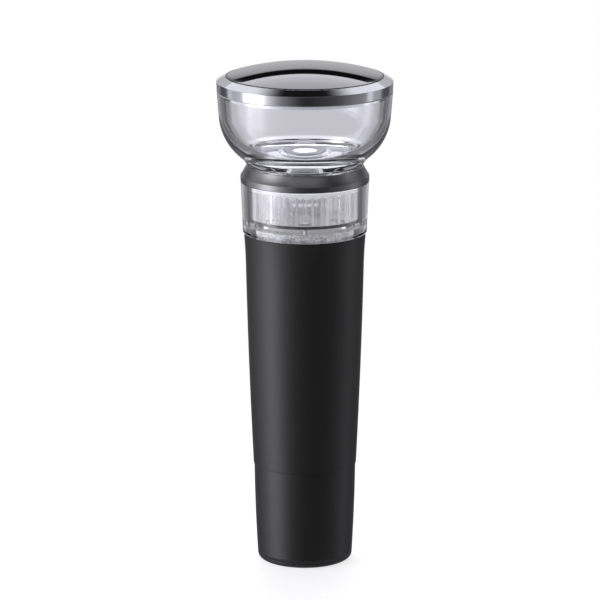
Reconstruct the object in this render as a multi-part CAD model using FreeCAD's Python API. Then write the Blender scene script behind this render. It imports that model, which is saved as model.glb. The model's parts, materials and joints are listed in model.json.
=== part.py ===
import FreeCAD, Part
import math
import os

Vector = FreeCAD.Vector

# Electric wine opener, in millimetres. +Z is up and the axis of the tool is the Z axis.
# The origin is the middle of the flat ring that the tool stands on, its bottle end down.
# From the bottom: foil cutter cap, black sleeve over the bottle nose, gearbox, motor and
# cells, then the clear window ring with its lamps, the metal collar and the clear push head.

# ---- fits, used everywhere ----
RUNNING = 0.04          # radial clearance of a shaft in its bearing
SLIDING = 0.15          # radial clearance of parts that pull apart by hand
AIR = 0.3               # space between parts that move past each other
SEAT = 0.05             # clearance of a part that drops into its seat
BEVEL = 0.3             # small bevels on outside edges
PAST = 1.0              # how far a cutting tool runs past the face that it cuts

# ---- bottle and cork ----
NECK_BORE_R = 16.0      # takes a bottle lip up to 31 mm across
ENTRY_STEP = 0.4        # the mouth of the nose is this much wider all round
ENTRY_DEPTH = 3.2
NOSE_WALL = 2.8
CORK_BORE_R = 13.5      # takes a cork of 24 to 25 mm
NECK_DEPTH = 23.5       # from the nose's mouth to the lip stop
CORK_ROOM = 42.5        # from the lip stop to the gearbox floor
CORK_TUBE_WALL = 3.0
NOSE_GAP = 1.1          # between the nose and the cap's web
LIP_CUSHION = 2.0       # height of the ring that the bottle's lip meets
TUBE_FLANGE_1 = 3.0     # height of the flange that stands on the sleeve's lip
TUBE_FLANGE_2 = 5.0     # height of the flange under the gearbox

# ---- foil cutter cap ----
MOUTH_SPARE = 0.2       # the cap's mouth is wider than the nose's bore by this, all round
MOUTH_HEIGHT = 5.0
MOUTH_FLANGE = 2.4      # height and radius of the rounded bottom edge
CHAMBER_TOP = 12.6
WEB = 1.8               # floor between cutter chamber and nose socket
WEB_HOLE_R = 7.0
CAP_HEIGHT = 42.6
CAP_WALL = 2.95         # at the top rim
CAP_TAPER = 1.45        # how much slimmer the cap is at the bottom
CAP_BARREL = 0.24       # how far its side bulges past a straight taper
CAP_RIM = 0.5           # bevel round the cap's top
CHAMBER_WALL = 0.95
WHEEL_R = 2.3
WHEEL_EDGE = 0.5        # thickness of a wheel
WHEEL_SHARP = 0.1       # thickness left at its sharp edge
WHEEL_BEVEL = 0.7       # width of the ground edge
WHEEL_STUB_R = 0.6
WHEEL_STUB = 1.4        # length of each stub
WHEEL_ANGLE = 38.0      # from the jaw's middle
JAW_OVERHANG = 1.2      # how far the jaws reach in past the mouth
JAW_ANGLE = 72.0
JAW_TRAVEL = 0.8
LEAF = 0.25             # thickness of the jaw springs
LEAF_HEIGHT = 4.0

# ---- sleeve ----
CAP_GAP = 0.4           # parting line between cap and sleeve
SHOULDER = 0.35         # the sleeve stands proud of the cap by this much
LIP_HEIGHT = 2.0        # inward lip that the cork tube rests on
SLEEVE_WALL = 2.25
SLEEVE_EDGE = 1.0
SLEEVE_BARREL = 0.28
FLARE = 0.8             # the top of the sleeve swells by this much
FLARE_LENGTH = 15.0
FLARE_HOLLOW = 0.125    # how far the swell's side curves in
CLIP_RING = 1.0         # thickness of the ring that holds the works down
CLIP_RING_WIDTH = 2.3
CLIP_RING_GROOVE = 0.6  # depth of its groove in the sleeve
CLIP_RING_OPENING = 5.0
CLIP_RING_ROOM = 1.2    # between the cradle's top and the spigot

# ---- gears ----
MODULE = 0.5
SUN_TEETH = 12
PLANET_TEETH = 18
PLANETS = 3
PRESSURE_ANGLE = 20.0
BACKLASH = 0.12
ROOT = 1.25             # depth of a tooth's root, in modules
PLANET_2_WIDTH = 4.0
PLANET_1_WIDTH = 3.2
CARRIER_2 = 1.8         # disc thicknesses
CARRIER_1 = 1.4
PLANET_PIN_R = 1.0
PIN_PROUD = 0.1         # how far a pin stands above its planet
PINION_PROUD = 0.2
STAGE_2_ROOM = 0.4      # above the planets of each stage
STAGE_1_ROOM = 0.5
CARRIER_RIM = 2.7       # of the disc outside its pins
GEARBOX_FLOOR = 2.5
RING_WALL = 4.0         # outside the ring gear's pitch circle
FLANGE_RIM = 1.1        # outside the screws
SPINDLE_R = 3.0
BUSH_WALL = 1.8

# ---- worm ----
WORM_R = 3.3            # of the wire's centre line
WIRE_R = 1.35
WORM_PITCH = 8.5
HUB_R = 8.0
HUB_HEIGHT = 8.0
HUB_CHAMFER = 0.8
HUB_GAP = 1.0           # between hub and gearbox
WIRE_TO_HUB = 0.2       # between the top of the coil and the hub
POST_SPARE = 0.5        # between the worm's post and the spindle
TIP_REST = 0.5          # the tip rests this far above the nose's entry step
TIP_DROP = 1.2          # from the coil's underside to the tip
TIP_LENGTH = 2.6
TIP_R = 0.15

# ---- motor ----
MOTOR_R = 10.2
MOTOR_FLAT = 7.7        # from the axis to each flat side
MOTOR_LENGTH = 24.0
MOTOR_WALL = 0.8
MOTOR_CAP = 3.0
MOTOR_PLATE = 1.2
SHAFT_R = 1.0
SHAFT_BACK = 0.5        # between the shaft's end and the outside of the motor
MOTOR_BOSS_R = 3.0
BOSS_BACK = 0.2         # the boss stops short of the plate's underside by this
CAP_PLUG = 1.5          # how far the end cap plugs into the can
BRUSH_ROOM_R = 3.4
BRUSH_ROOM = 1.6        # its depth in the end cap
FACE_SCREW_IN = 3.6     # of the face screws from the round side
FACE_SCREW_DEPTH = 0.7
FACE_SCREW_CONE = 0.9
MAGNET = 1.9
MAGNET_LOW = 1.5        # from the can's floor
MAGNET_HIGH = 3.5       # below the can's top
MAGNET_SIDE = 0.6       # clear of the flat sides
CORE_GAP = 0.75         # between magnets and wound core
CORE_LOW = 2.5
CORE_HIGH = 4.5
POLES = 3
CORE_SLOT = 1.6
CORE_SLOT_IN = 2.6      # radius that the slots reach in to
COMMUTATOR_R = 2.1
COMMUTATOR_BACK = 1.8

# ---- cells and their cradle ----
CELL_R = 5.25
CELL_LENGTH = 44.5
CELL_NUB = 1.0
CELL_NUB_R = 1.9
CELL_SPARE = 0.25       # between a cell and its neighbours
CELL_ROOM = 1.05        # round the four cells, inside the spigot
CRADLE_ROOM = 0.35      # round the four cells, inside the cradle
HEAD_ROOM = 0.2         # round the screw heads, inside the cradle
SPIGOT_STEP = 0.7       # the spigot is at least this much wider than the cradle's inside
TRAY = 1.4
TRAY_GAP = 0.2          # between motor plate and tray
CONTACT = 0.4
CHASSIS_WALL = 1.3
CHASSIS_FOOT = 2.0
CHASSIS_RIM = 1.5
WEB_DROP = 4.0          # of the middle web below the motor's top
TOP_WEB_DROP = 5.0      # of the top web below the cradle's top
CONTACT_INSET = 0.65    # of a strip from the inner side of its cells
CONTACT_REACH = 3.5     # of a strip past the middle of its cells
DRIVER_ROOM_X = 12.4
DRIVER_ROOM_Y = 12.0
DRIVER_WIDTH = 11.2
DRIVER = 1.0            # thickness of the driver board
DRIVER_DROP = 0.5       # of its top below the cradle's top
CHIP = 5.0
CHIP_RISE = 3.0         # of the chips above the board's lower edge
CHIP_THICK = 1.5
CONTACT_SPRING = 2.75   # height of the coil that presses a cell

# ---- screws ----
SCREW_R = 0.9
SCREW_HEAD_R = 1.7
SCREW_HEAD = 1.2
SCREW_HOLE_R = 1.1
SCREW_SLOT = 0.4
SCREW_SPARE = 0.4       # between a screw's tip and the bottom of its hole
WORKS_SCREW = 7.4       # lengths under the head
PLATE_SCREW = 4.8
TOP_SCREW = 3.4

# ---- top unit ----
SPIGOT_WALL = 3.1
SPIGOT_LENGTH = 5.8
WINDOW_GAP = 0.2        # parting line between sleeve and window
WINDOW_PROUD = 0.45
WINDOW_TAPER = 0.85     # how much the window widens to its top
WINDOW_HEIGHT = 22.0
WINDOW_WALL = 4.2
WINDOW_FLOOR = 2.7
FLOOR_RIM = 4.6         # how far the floor reaches in under the lamp board
CONTACT_PLATE = 1.5
PLATE_HOLE_R = 4.0
BOARD = 1.2
BOARD_RISE = 6.0        # of the lamp board above the sleeve's top
WIRE_HOLE_R = 1.5
WIRE_HOLE_X = 11.0
LAMPS = 6
LAMP_R = 3.0
LAMP_STEM = 2.0
LAMP_GAP = 0.3          # between the lamps and the fluted sleeve
FLUTES = 36
FLUTE_R = 0.8
FLUTE_GAP = 0.3         # between the ribs and the window
FLUTED_WALL = 1.0
DECK = 1.5
GUIDE_WALL = 1.8
COLLAR_PROUD = 0.1
COLLAR_BAND = 2.5       # height of the straight band
COLLAR_CONE = 4.3       # height of the cone above it
COLLAR_MOUTH_R = 24.6
COLLAR_RIM = 0.5        # width of the rim round the mouth
COLLAR_SEAT = 4.1       # width of the flange inside the collar
COLLAR_LIP = 0.9
COLLAR_HOLLOW = 0.18    # how far the cone's side curves in
SWITCH_SIDE = 6.0
SWITCH_HEIGHT = 3.6
PLUNGER_R = 1.7
PLUNGER_PROUD = 1.2
PLUNGER_DEPTH = 1.9
WELL_SPARE = 0.1        # under the plunger when it is pressed

# ---- push head ----
HEAD_TRAVEL = 1.0
HEAD_R = 37.6           # at the bezel
HEAD_HEIGHT = 30.9      # of the clear bowl above the collar's rim
HEAD_CLEAR = 1.3        # between the collar's rim and the bowl's flare
BOWL_WALL = 3.1
BOWL_CORNER = 2.0       # how far outside the collar's rim the curve starts
CORNER_RISE = 2.4       # and how far above the flare's foot
FLARE_STEP = 0.2        # bevel under the flare
INNER_RISE = 1.0        # the hollow's straight side starts this much higher
BOWL_SHOULDER = 11.0    # height of the straight upper side
BOWL_DRAFT = 0.85       # how much that side widens
FLOOR_R = 20.0          # of the flat floor inside the bowl
FLOOR_RISE = 5.1        # of that floor above the collar's rim
FLOOR_DISH = 1.9
DISH_BOW = 0.3
DISH_RING = 0.6         # flat ring round the stem's flange
FOOT_DEPTH = 5.0        # how far the foot reaches into the collar
FOOT_SPARE = 0.4        # between the foot and the collar's mouth
FOOT_ROOM = 0.2         # under the foot when the head is pressed
FOOT_RING = 3.2
FOOT_BOSS = 3.0
FOOT_RECESS = 5.0
STEM_R = 9.0
STEM_BORE_R = 5.5
STEM_FLANGE = 0.3
STEM_LIP = 0.5          # height of that flange
STEM_END = 2.0          # from the stem's lower end to the top of its clip
PIPE_TOP = 0.3          # of the light pipe above the dish
PIPE_PROUD = 2.1        # the light pipe reaches this far below the stem
CLIP = 0.7
CLIP_OPENING = 8.0
CLIP_GROOVE = 0.6
CLIP_PROUD = 1.4
SEAL = 0.3
SEAL_INSET = 0.1
BEZEL_BAND = 4.1
BEZEL_CHAMFER = 2.2
BEZEL_RIM = 3.9         # width of the chamfer
BEZEL_DRAFT = 0.15
BEZEL_SPIGOT = 1.8      # how far it plugs into the bowl
BEZEL_WALL = 2.0
DOME_HEIGHT = 5.0
DOME_THICK = 2.2
DOME_SEAT = 2.0

SPRING_WIRE_R = 0.45
SPRING_TURNS = 4.5
SPRING_SIDES = 8
SPRING_STEPS = 20
CONTACT_WIRE_R = 0.25
CONTACT_COIL_R = 2.2
CONTACT_TURNS = 2.5
O_RING_R = 0.8
O_RING_GAP = 0.1        # between the ring and the sleeve
GROOVE_SPARE = 0.02
GROOVE_SIDE = 0.1

# ---- radii worked out from the sizes above ----
mouth_r = NECK_BORE_R + MOUTH_SPARE
nose_r = NECK_BORE_R + NOSE_WALL
socket_r = nose_r + SLIDING
cap_top_r = socket_r + CAP_WALL
cap_bottom_r = cap_top_r - CAP_TAPER
chamber_r = cap_bottom_r - CHAMBER_WALL
jaw_inner_r = mouth_r - JAW_OVERHANG
jaw_outer_r = chamber_r - JAW_TRAVEL - AIR
wheel_circle = chamber_r - JAW_TRAVEL - 2 * SEAT - WHEEL_R
cork_tube_r = CORK_BORE_R + CORK_TUBE_WALL

sun_r = MODULE * SUN_TEETH / 2
planet_r = MODULE * PLANET_TEETH / 2
ring_teeth = SUN_TEETH + 2 * PLANET_TEETH
ring_r = MODULE * ring_teeth / 2
orbit_r = sun_r + planet_r
ring_root_r = ring_r + ROOT * MODULE
gearbox_r = ring_r + RING_WALL
carrier_r = orbit_r + CARRIER_RIM
screw_circle = gearbox_r + AIR + SCREW_HEAD_R
flange_r = screw_circle + SCREW_R + FLANGE_RIM
plate_screw_r = (ring_root_r + gearbox_r) / 2

cell_x = MOTOR_FLAT + CELL_R + CELL_SPARE
cell_y = CELL_R + CELL_SPARE
cell_reach = math.hypot(cell_x, cell_y) + CELL_R
screw_reach = screw_circle + SCREW_HEAD_R
chassis_in_r = max(cell_reach + CRADLE_ROOM, screw_reach + HEAD_ROOM)
chassis_r = chassis_in_r + CHASSIS_WALL
spigot_in_r = max(cell_reach + CELL_ROOM, chassis_in_r + SPIGOT_STEP)
spigot_r = spigot_in_r + SPIGOT_WALL
sleeve_top_in_r = spigot_r + SLIDING
sleeve_top_r = sleeve_top_in_r + SLEEVE_WALL
window_bottom_r = sleeve_top_r + WINDOW_PROUD
window_top_r = window_bottom_r + WINDOW_TAPER
window_in_r = window_bottom_r - WINDOW_WALL + WINDOW_PROUD
fluted_r = window_in_r - FLUTE_GAP - FLUTE_R
lamp_circle = fluted_r - FLUTED_WALL - LAMP_GAP - LAMP_R
collar_r = window_top_r + COLLAR_PROUD
collar_rim_r = COLLAR_MOUTH_R + COLLAR_RIM
foot_r = COLLAR_MOUTH_R - FOOT_SPARE
bezel_rim_r = HEAD_R - BEZEL_DRAFT
bezel_in_r = HEAD_R - BEZEL_RIM
o_ring_r = sleeve_top_in_r - O_RING_GAP - O_RING_R

# ---- heights worked out from the sizes above ----
web_top = CHAMBER_TOP + WEB
nose_z = web_top + NOSE_GAP
worm_tip_z = nose_z + ENTRY_DEPTH + TIP_REST
lip_z = nose_z + NECK_DEPTH
sleeve_z = CAP_HEIGHT + CAP_GAP
tube_flange_z = sleeve_z + LIP_HEIGHT
ceiling_z = lip_z + CORK_ROOM
tube_flange_2_z = ceiling_z - TUBE_FLANGE_2
hub_z = ceiling_z - HUB_GAP - HUB_HEIGHT
hub_middle = hub_z + HUB_HEIGHT / 2
floor_z = ceiling_z + GEARBOX_FLOOR
carrier_2_z = floor_z + AIR
planet_2_z = carrier_2_z + CARRIER_2 + AIR
carrier_1_z = planet_2_z + PLANET_2_WIDTH + STAGE_2_ROOM
planet_1_z = carrier_1_z + CARRIER_1 + AIR
plate_z = planet_1_z + PLANET_1_WIDTH + STAGE_1_ROOM
motor_z = plate_z + MOTOR_PLATE
motor_top = motor_z + MOTOR_LENGTH
tray_z = motor_z + TRAY_GAP
cell_z = tray_z + TRAY + CONTACT
cell_top = cell_z + CELL_LENGTH
plate_bottom = cell_top + AIR + CONTACT_SPRING
window_floor_z = plate_bottom + CONTACT_PLATE
board_z = window_floor_z + WINDOW_FLOOR
sleeve_top = board_z - BOARD_RISE
window_z = sleeve_top + WINDOW_GAP
window_top = window_z + WINDOW_HEIGHT
spigot_z = window_z - SPIGOT_LENGTH
o_ring_z = spigot_z + SPIGOT_LENGTH / 2
chassis_top = spigot_z - CLIP_RING_ROOM
board_top = board_z + BOARD
deck_top = window_top - COLLAR_LIP
deck_z = deck_top - DECK
collar_top = window_top + COLLAR_BAND + COLLAR_CONE
flare_z = collar_top + HEAD_CLEAR
foot_z = collar_top - FOOT_DEPTH
bowl_top = collar_top + HEAD_HEIGHT + HEAD_CLEAR - SEAL
dish_z = collar_top + FLOOR_RISE
boss_top = dish_z - FLOOR_DISH
bezel_z = bowl_top + SEAL
bezel_edge_z = bezel_z + BEZEL_BAND
bezel_top = bezel_edge_z + BEZEL_CHAMFER
switch_top = board_top + SWITCH_HEIGHT
plunger_top = switch_top + PLUNGER_PROUD
pipe_z = plunger_top + AIR
stem_z = pipe_z + PIPE_PROUD
clip_top = stem_z + STEM_END
jaw_low = MOUTH_HEIGHT + AIR
jaw_high = CHAMBER_TOP - AIR
wheel_z = (jaw_low + jaw_high) / 2


def up_bore(z):
    """How far up the sleeve's tapered bore a height is, from 0 to 1."""
    return (z - tube_flange_z) / (chassis_top - tube_flange_z)


def seat_for(radius, z):
    """The bore at the sleeve's foot that lets a part of this radius stand at this height."""
    return (radius + AIR - sleeve_top_in_r * up_bore(z)) / (1 - up_bore(z))


sleeve_seat_r = max(cap_top_r + SHOULDER - SLEEVE_WALL, seat_for(chassis_r, floor_z),
                    seat_for(flange_r, tube_flange_2_z))
sleeve_bottom_r = sleeve_seat_r + SLEEVE_WALL
chassis_rim_z = chassis_top - CHASSIS_RIM
chassis_rim_r = (sleeve_seat_r + (sleeve_top_in_r - sleeve_seat_r) * up_bore(chassis_rim_z)
                 - AIR)

AXIS = Vector(0, 0, 1)
ORIGIN = Vector(0, 0, 0)


def save(node, solids):
    """Writes one node's solids to a STEP file of that name."""
    for solid in solids:
        if not solid.isValid() or len(solid.Solids) != 1:
            raise ValueError(node + " holds a faulty solid")
    shape = solids[0] if len(solids) == 1 else Part.makeCompound(solids)
    shape.exportStep("parts/" + node + ".step")


def at(radius, degrees, z=0.0):
    """The point at this radius, angle and height."""
    angle = math.radians(degrees)
    return Vector(radius * math.cos(angle), radius * math.sin(angle), z)


def around(shape, count, start=0.0):
    """Copies of a shape, evenly spaced about the axis."""
    copies = []
    for i in range(count):
        turned = shape.copy()
        turned.rotate(ORIGIN, AXIS, start + 360.0 * i / count)
        copies.append(turned)
    return copies


def cylinder(radius, low, high, x=0.0, y=0.0):
    return Part.makeCylinder(radius, high - low, Vector(x, y, low), AXIS)


def tube(outer, inner, low, high):
    return cylinder(outer, low, high).cut(cylinder(inner, low - PAST, high + PAST))


def block(x0, x1, y0, y1, low, high):
    return Part.makeBox(x1 - x0, y1 - y0, high - low, Vector(x0, y0, low))


def lathe(*steps):
    """Turns an outline about the axis. A step is the next corner (r, z), or a pair of
    points for an arc: one that it passes through, and its end."""
    points = [step if not isinstance(step[0], tuple) else step[1] for step in steps]
    edges = []
    for i, step in enumerate(steps):
        start = Vector(points[i - 1][0], 0, points[i - 1][1])
        end = Vector(points[i][0], 0, points[i][1])
        if isinstance(step[0], tuple):
            middle = Vector(step[0][0], 0, step[0][1])
            edges.append(Part.Arc(start, middle, end).toShape())
        else:
            edges.append(Part.makeLine(start, end))
    face = Part.Face(Part.Wire(edges))
    return face.revolve(ORIGIN, AXIS, 360)


def bulged(start, end, bulge):
    """An arc step to end, bowed outwards by the given amount at its middle."""
    middle_r = (start[0] + end[0]) / 2 + bulge
    middle_z = (start[1] + end[1]) / 2
    return ((middle_r, middle_z), end)


def tangent_arc(start, end, slope):
    """An arc step from start to end that meets a side of the given slope (dr/dz) at end."""
    length = math.hypot(1, slope)
    normal = (-1 / length, slope / length)
    across = (start[0] - end[0], start[1] - end[1])
    radius = (across[0] ** 2 + across[1] ** 2) / (2 * (normal[0] * across[0] + normal[1] * across[1]))
    centre = (end[0] + normal[0] * radius, end[1] + normal[1] * radius)
    half = (math.atan2(start[1] - centre[1], start[0] - centre[0])
            + math.atan2(end[1] - centre[1], end[0] - centre[0])) / 2
    middle = (centre[0] + radius * math.cos(half), centre[1] + radius * math.sin(half))
    return (middle, end)


def helix_wire(radius, wire_r, pitch, low, high):
    """A round wire swept along a helix that climbs from low to high, wire included."""
    helix = Part.makeHelix(pitch, high - low - 2 * wire_r, radius)
    start = Vector(radius, 0, 0)
    climb = Vector(0, 1, pitch / (2 * math.pi * radius))
    section = Part.Wire(Part.makeCircle(wire_r, start, climb))
    wound = Part.Wire(helix.Edges).makePipeShell([section], True, True)
    wound.translate(Vector(0, 0, low + wire_r))
    return wound


def spring(radius, wire_r, turns, low, high):
    """A coil spring in flat facets: SPRING_SIDES round the wire, SPRING_STEPS to a turn."""
    rise = high - low - 2 * wire_r
    count = round(turns * SPRING_STEPS)
    rings = []
    for i in range(count + 1):
        turn = 2 * math.pi * turns * i / count
        middle = Vector(0, 0, low + wire_r + rise * i / count)
        out = Vector(math.cos(turn), math.sin(turn), 0)
        ring = []
        for k in range(SPRING_SIDES):
            around_wire = 2 * math.pi * k / SPRING_SIDES
            ring.append(middle + out * (radius + wire_r * math.cos(around_wire))
                        + AXIS * wire_r * math.sin(around_wire))
        rings.append(ring)
    faces = [Part.Face(Part.makePolygon(end + end[:1])) for end in (rings[0], rings[-1])]
    for here, above in zip(rings, rings[1:]):
        for k in range(SPRING_SIDES):
            a, b = here[k - 1], here[k]
            c, d = above[k], above[k - 1]
            faces.append(Part.Face(Part.makePolygon([a, b, c, a])))
            faces.append(Part.Face(Part.makePolygon([a, c, d, a])))
    solid = Part.makeSolid(Part.makeShell(faces))
    if solid.Volume < 0:
        solid.reverse()
    return solid


def screw(length, x, y, under_head):
    """A pan head screw whose head sits on the height given, its shank below."""
    shank = cylinder(SCREW_R, under_head - length, under_head, x, y)
    head = cylinder(SCREW_HEAD_R, under_head, under_head + SCREW_HEAD, x, y)
    slot = block(x - SCREW_HEAD_R, x + SCREW_HEAD_R, y - SCREW_SLOT / 2, y + SCREW_SLOT / 2,
                 under_head + SCREW_HEAD / 2, under_head + SCREW_HEAD + PAST)
    return shank.fuse(head).removeSplitter().cut(slot)


# ---- gears ----

def involute_angle(base, radius):
    pressure = math.acos(min(1.0, base / radius))
    return math.tan(pressure) - pressure


def toothed(teeth, tip, root, low, high, extra):
    """A spur gear blank with one tooth centred on +X. extra widens each tooth."""
    pitch_r = MODULE * teeth / 2
    base = pitch_r * math.cos(math.radians(PRESSURE_ANGLE))
    half = math.pi / (2 * teeth) + extra / (2 * pitch_r) + involute_angle(base, pitch_r)
    start = max(base, root)
    flank = [start, (start + tip) / 2, tip]
    corners = []
    for i in range(teeth):
        middle = 2 * math.pi * i / teeth
        rising = [(r, middle - half + involute_angle(base, r)) for r in flank]
        falling = [(r, middle + half - involute_angle(base, r)) for r in reversed(flank)]
        if root < start:
            rising.insert(0, (root, rising[0][1]))
            falling.append((root, falling[-1][1]))
        corners += rising + falling
    points = [Vector(r * math.cos(a), r * math.sin(a), low) for r, a in corners]
    outline = Part.makePolygon(points + [points[0]])
    return Part.Face(outline).extrude(Vector(0, 0, high - low))


def outer_gear(teeth, low, high):
    pitch_r = MODULE * teeth / 2
    return toothed(teeth, pitch_r + MODULE, pitch_r - ROOT * MODULE, low, high, -BACKLASH)


def planets(low, high):
    """The planet gears of one stage, already in mesh with a sun tooth on +X."""
    gears = []
    for i in range(PLANETS):
        angle = 360.0 * i / PLANETS
        gear = outer_gear(PLANET_TEETH, low, high)
        gear = gear.cut(cylinder(PLANET_PIN_R + RUNNING, low - PAST, high + PAST))
        in_mesh = angle * (1 + SUN_TEETH / PLANET_TEETH) + 180.0 / PLANET_TEETH
        gear.rotate(ORIGIN, AXIS, in_mesh)
        gear.translate(at(orbit_r, angle))
        gears.append(gear)
    return gears


def carrier(low, thick, pin_top):
    """A carrier disc with the pins that its planets turn on."""
    pin = cylinder(PLANET_PIN_R, low, pin_top, orbit_r, 0)
    return cylinder(carrier_r, low, low + thick).multiFuse(around(pin, PLANETS)).removeSplitter()


# ---- foil cutter cap ----

def cutter_mouth_ring():
    """The rounded bottom ring that the bottle enters; its plug closes the cutter chamber."""
    edge = MOUTH_FLANGE
    lean = edge * (1 - math.sqrt(0.5))
    plug_r = chamber_r - SEAT
    flat_r = cap_bottom_r - edge
    return lathe((mouth_r, 0), (flat_r, 0), ((cap_bottom_r - lean, lean), (cap_bottom_r, edge)),
                 (plug_r, edge), (plug_r, MOUTH_HEIGHT), (mouth_r, MOUTH_HEIGHT))


def cutter_shell():
    """The cap's side: cutter chamber below, web, and the socket that slides on the nose."""
    low = MOUTH_FLANGE
    bottom = (cap_bottom_r, low)
    top = (cap_top_r, CAP_HEIGHT - CAP_RIM)
    return lathe(bottom, bulged(bottom, top, CAP_BARREL), (cap_top_r - CAP_RIM, CAP_HEIGHT),
                 (socket_r, CAP_HEIGHT), (socket_r, web_top), (WEB_HOLE_R, web_top),
                 (WEB_HOLE_R, CHAMBER_TOP), (chamber_r, CHAMBER_TOP), (chamber_r, low))


def jaw(side):
    """Half a ring that carries two wheels; side is 1 on +X and -1 on -X."""
    ring = tube(jaw_outer_r, jaw_inner_r, jaw_low, jaw_high)
    reach = jaw_outer_r + PAST
    low = jaw_low - PAST
    high = jaw_high + PAST
    for end in (-1, 1):
        limit = block(-reach, reach, 0, reach * 2, low, high)
        limit.rotate(ORIGIN, AXIS, 0 if end > 0 else 180)
        limit.rotate(ORIGIN, AXIS, end * JAW_ANGLE)
        ring = ring.cut(limit)
    ring = ring.common(block(0, reach, -reach, reach, low, high))
    slot = WHEEL_EDGE / 2 + AIR
    deep = WHEEL_EDGE / 2 + WHEEL_STUB + SLIDING
    bore = WHEEL_STUB_R + RUNNING
    for end in (-1, 1):
        hub = at(wheel_circle, end * WHEEL_ANGLE)
        ring = ring.cut(cylinder(WHEEL_R + AIR, wheel_z - slot, wheel_z + slot, hub.x, hub.y))
        ring = ring.cut(cylinder(bore, wheel_z - deep, wheel_z + deep, hub.x, hub.y))
    ring.rotate(ORIGIN, AXIS, 0 if side > 0 else 180)
    return ring


def cutter_wheel(degrees):
    """A sharp-edged steel wheel with a stub on each face."""
    edge = WHEEL_EDGE / 2
    stub = edge + WHEEL_STUB
    shoulder = WHEEL_R - WHEEL_BEVEL
    sharp = WHEEL_SHARP / 2
    wheel = lathe((0, -stub), (WHEEL_STUB_R, -stub), (WHEEL_STUB_R, -edge), (shoulder, -edge),
                  (WHEEL_R, -sharp), (WHEEL_R, sharp), (shoulder, edge), (WHEEL_STUB_R, edge),
                  (WHEEL_STUB_R, stub), (0, stub))
    wheel.translate(at(wheel_circle, degrees, wheel_z))
    return wheel


def jaw_spring():
    """A flat leaf behind the +X jaw, its ends against the chamber's wall."""
    inside = jaw_outer_r + AIR
    half = math.sqrt((chamber_r - SEAT) ** 2 - (inside + LEAF) ** 2)
    return block(inside, inside + LEAF, -half, half,
                 wheel_z - LEAF_HEIGHT / 2, wheel_z + LEAF_HEIGHT / 2)


def make_foil_cutter():
    save("cutter_mouth_ring", [cutter_mouth_ring()])
    save("cutter_shell", [cutter_shell()])
    save("jaw_springs", around(jaw_spring(), 2))
    for side, name in ((1, "right"), (-1, "left")):
        middle = 0 if side > 0 else 180
        save("jaw_" + name, [jaw(side)])
        save("wheel_" + name + "_front", [cutter_wheel(middle - side * WHEEL_ANGLE)])
        save("wheel_" + name + "_rear", [cutter_wheel(middle + side * WHEEL_ANGLE)])


# ---- sleeve, nose and gearbox case ----

def outer_sleeve():
    """The soft-touch tube, with a lip at its foot and a groove for the clip ring."""
    edge = SLEEVE_EDGE
    lean = edge * (1 - math.sqrt(0.5))
    start = (sleeve_bottom_r, sleeve_z + edge)
    waist = (sleeve_top_r - FLARE, sleeve_top - FLARE_LENGTH)
    crown = (sleeve_top_r, sleeve_top - BEVEL)
    sleeve = lathe((sleeve_bottom_r - edge, sleeve_z), ((start[0] - lean, sleeve_z + lean), start),
                   bulged(start, waist, SLEEVE_BARREL), bulged(waist, crown, -FLARE_HOLLOW),
                   (sleeve_top_r - BEVEL, sleeve_top), (sleeve_top_in_r, sleeve_top),
                   (sleeve_top_in_r, chassis_top), (sleeve_seat_r, tube_flange_z),
                   (socket_r, tube_flange_z), (socket_r, sleeve_z))
    groove = cylinder(sleeve_top_in_r + CLIP_RING_GROOVE, chassis_top,
                      chassis_top + CLIP_RING + SEAT)
    return sleeve.cut(groove)


def clip_ring():
    """The spring ring that holds the works down in the sleeve."""
    outer = sleeve_top_in_r + CLIP_RING_GROOVE - 2 * SEAT
    high = chassis_top + CLIP_RING
    gap = CLIP_RING_OPENING / 2
    ring = tube(outer, outer - CLIP_RING_WIDTH, chassis_top, high)
    return ring.cut(block(-gap, gap, 0, outer + PAST, chassis_top - PAST, high + PAST))


def cork_tube():
    """The clear nose that centres the bottle, and the cork's room above its lip stop."""
    seat_r = sleeve_seat_r - SEAT
    body = lathe((NECK_BORE_R + ENTRY_STEP, nose_z), (nose_r, nose_z), (nose_r, tube_flange_z),
                 (seat_r, tube_flange_z), (seat_r, tube_flange_z + TUBE_FLANGE_1),
                 (cork_tube_r, tube_flange_z + TUBE_FLANGE_1),
                 (cork_tube_r, tube_flange_2_z), (flange_r, tube_flange_2_z),
                 (flange_r, ceiling_z), (CORK_BORE_R, ceiling_z),
                 (CORK_BORE_R, lip_z), (NECK_BORE_R, lip_z), (NECK_BORE_R, nose_z + ENTRY_DEPTH),
                 (NECK_BORE_R + ENTRY_STEP, nose_z + ENTRY_DEPTH))
    hole_z = floor_z + CHASSIS_FOOT - WORKS_SCREW - SCREW_SPARE
    for x, y in works_screws():
        body = body.cut(cylinder(SCREW_R, hole_z, ceiling_z + PAST, x, y))
    return body


def works_screws():
    """Where the four screws stand that join nose, gearbox and cradle."""
    corners = [at(screw_circle, 45 + 90 * i) for i in range(4)]
    return [(corner.x, corner.y) for corner in corners]


def gear_housing():
    """The gearbox: a floor with the output bush's hole, and the ring gear's wall."""
    shell = cylinder(gearbox_r, ceiling_z, plate_z)
    teeth = toothed(ring_teeth, ring_root_r, ring_r - MODULE, floor_z, plate_z + PAST, BACKLASH)
    teeth.rotate(ORIGIN, AXIS, 180.0 / ring_teeth)
    floor = cylinder(flange_r, ceiling_z, floor_z)
    case = floor.fuse(shell).removeSplitter().cut(teeth)
    case = case.cut(cylinder(SPINDLE_R + BUSH_WALL, ceiling_z - PAST, floor_z + PAST))
    for x, y in works_screws():
        case = case.cut(cylinder(SCREW_HOLE_R, ceiling_z - PAST, floor_z + PAST, x, y))
    hole_z = motor_z - PLATE_SCREW - SCREW_SPARE
    for end in (-1, 1):
        case = case.cut(cylinder(SCREW_R, hole_z, plate_z + PAST, 0, end * plate_screw_r))
    return case


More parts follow.
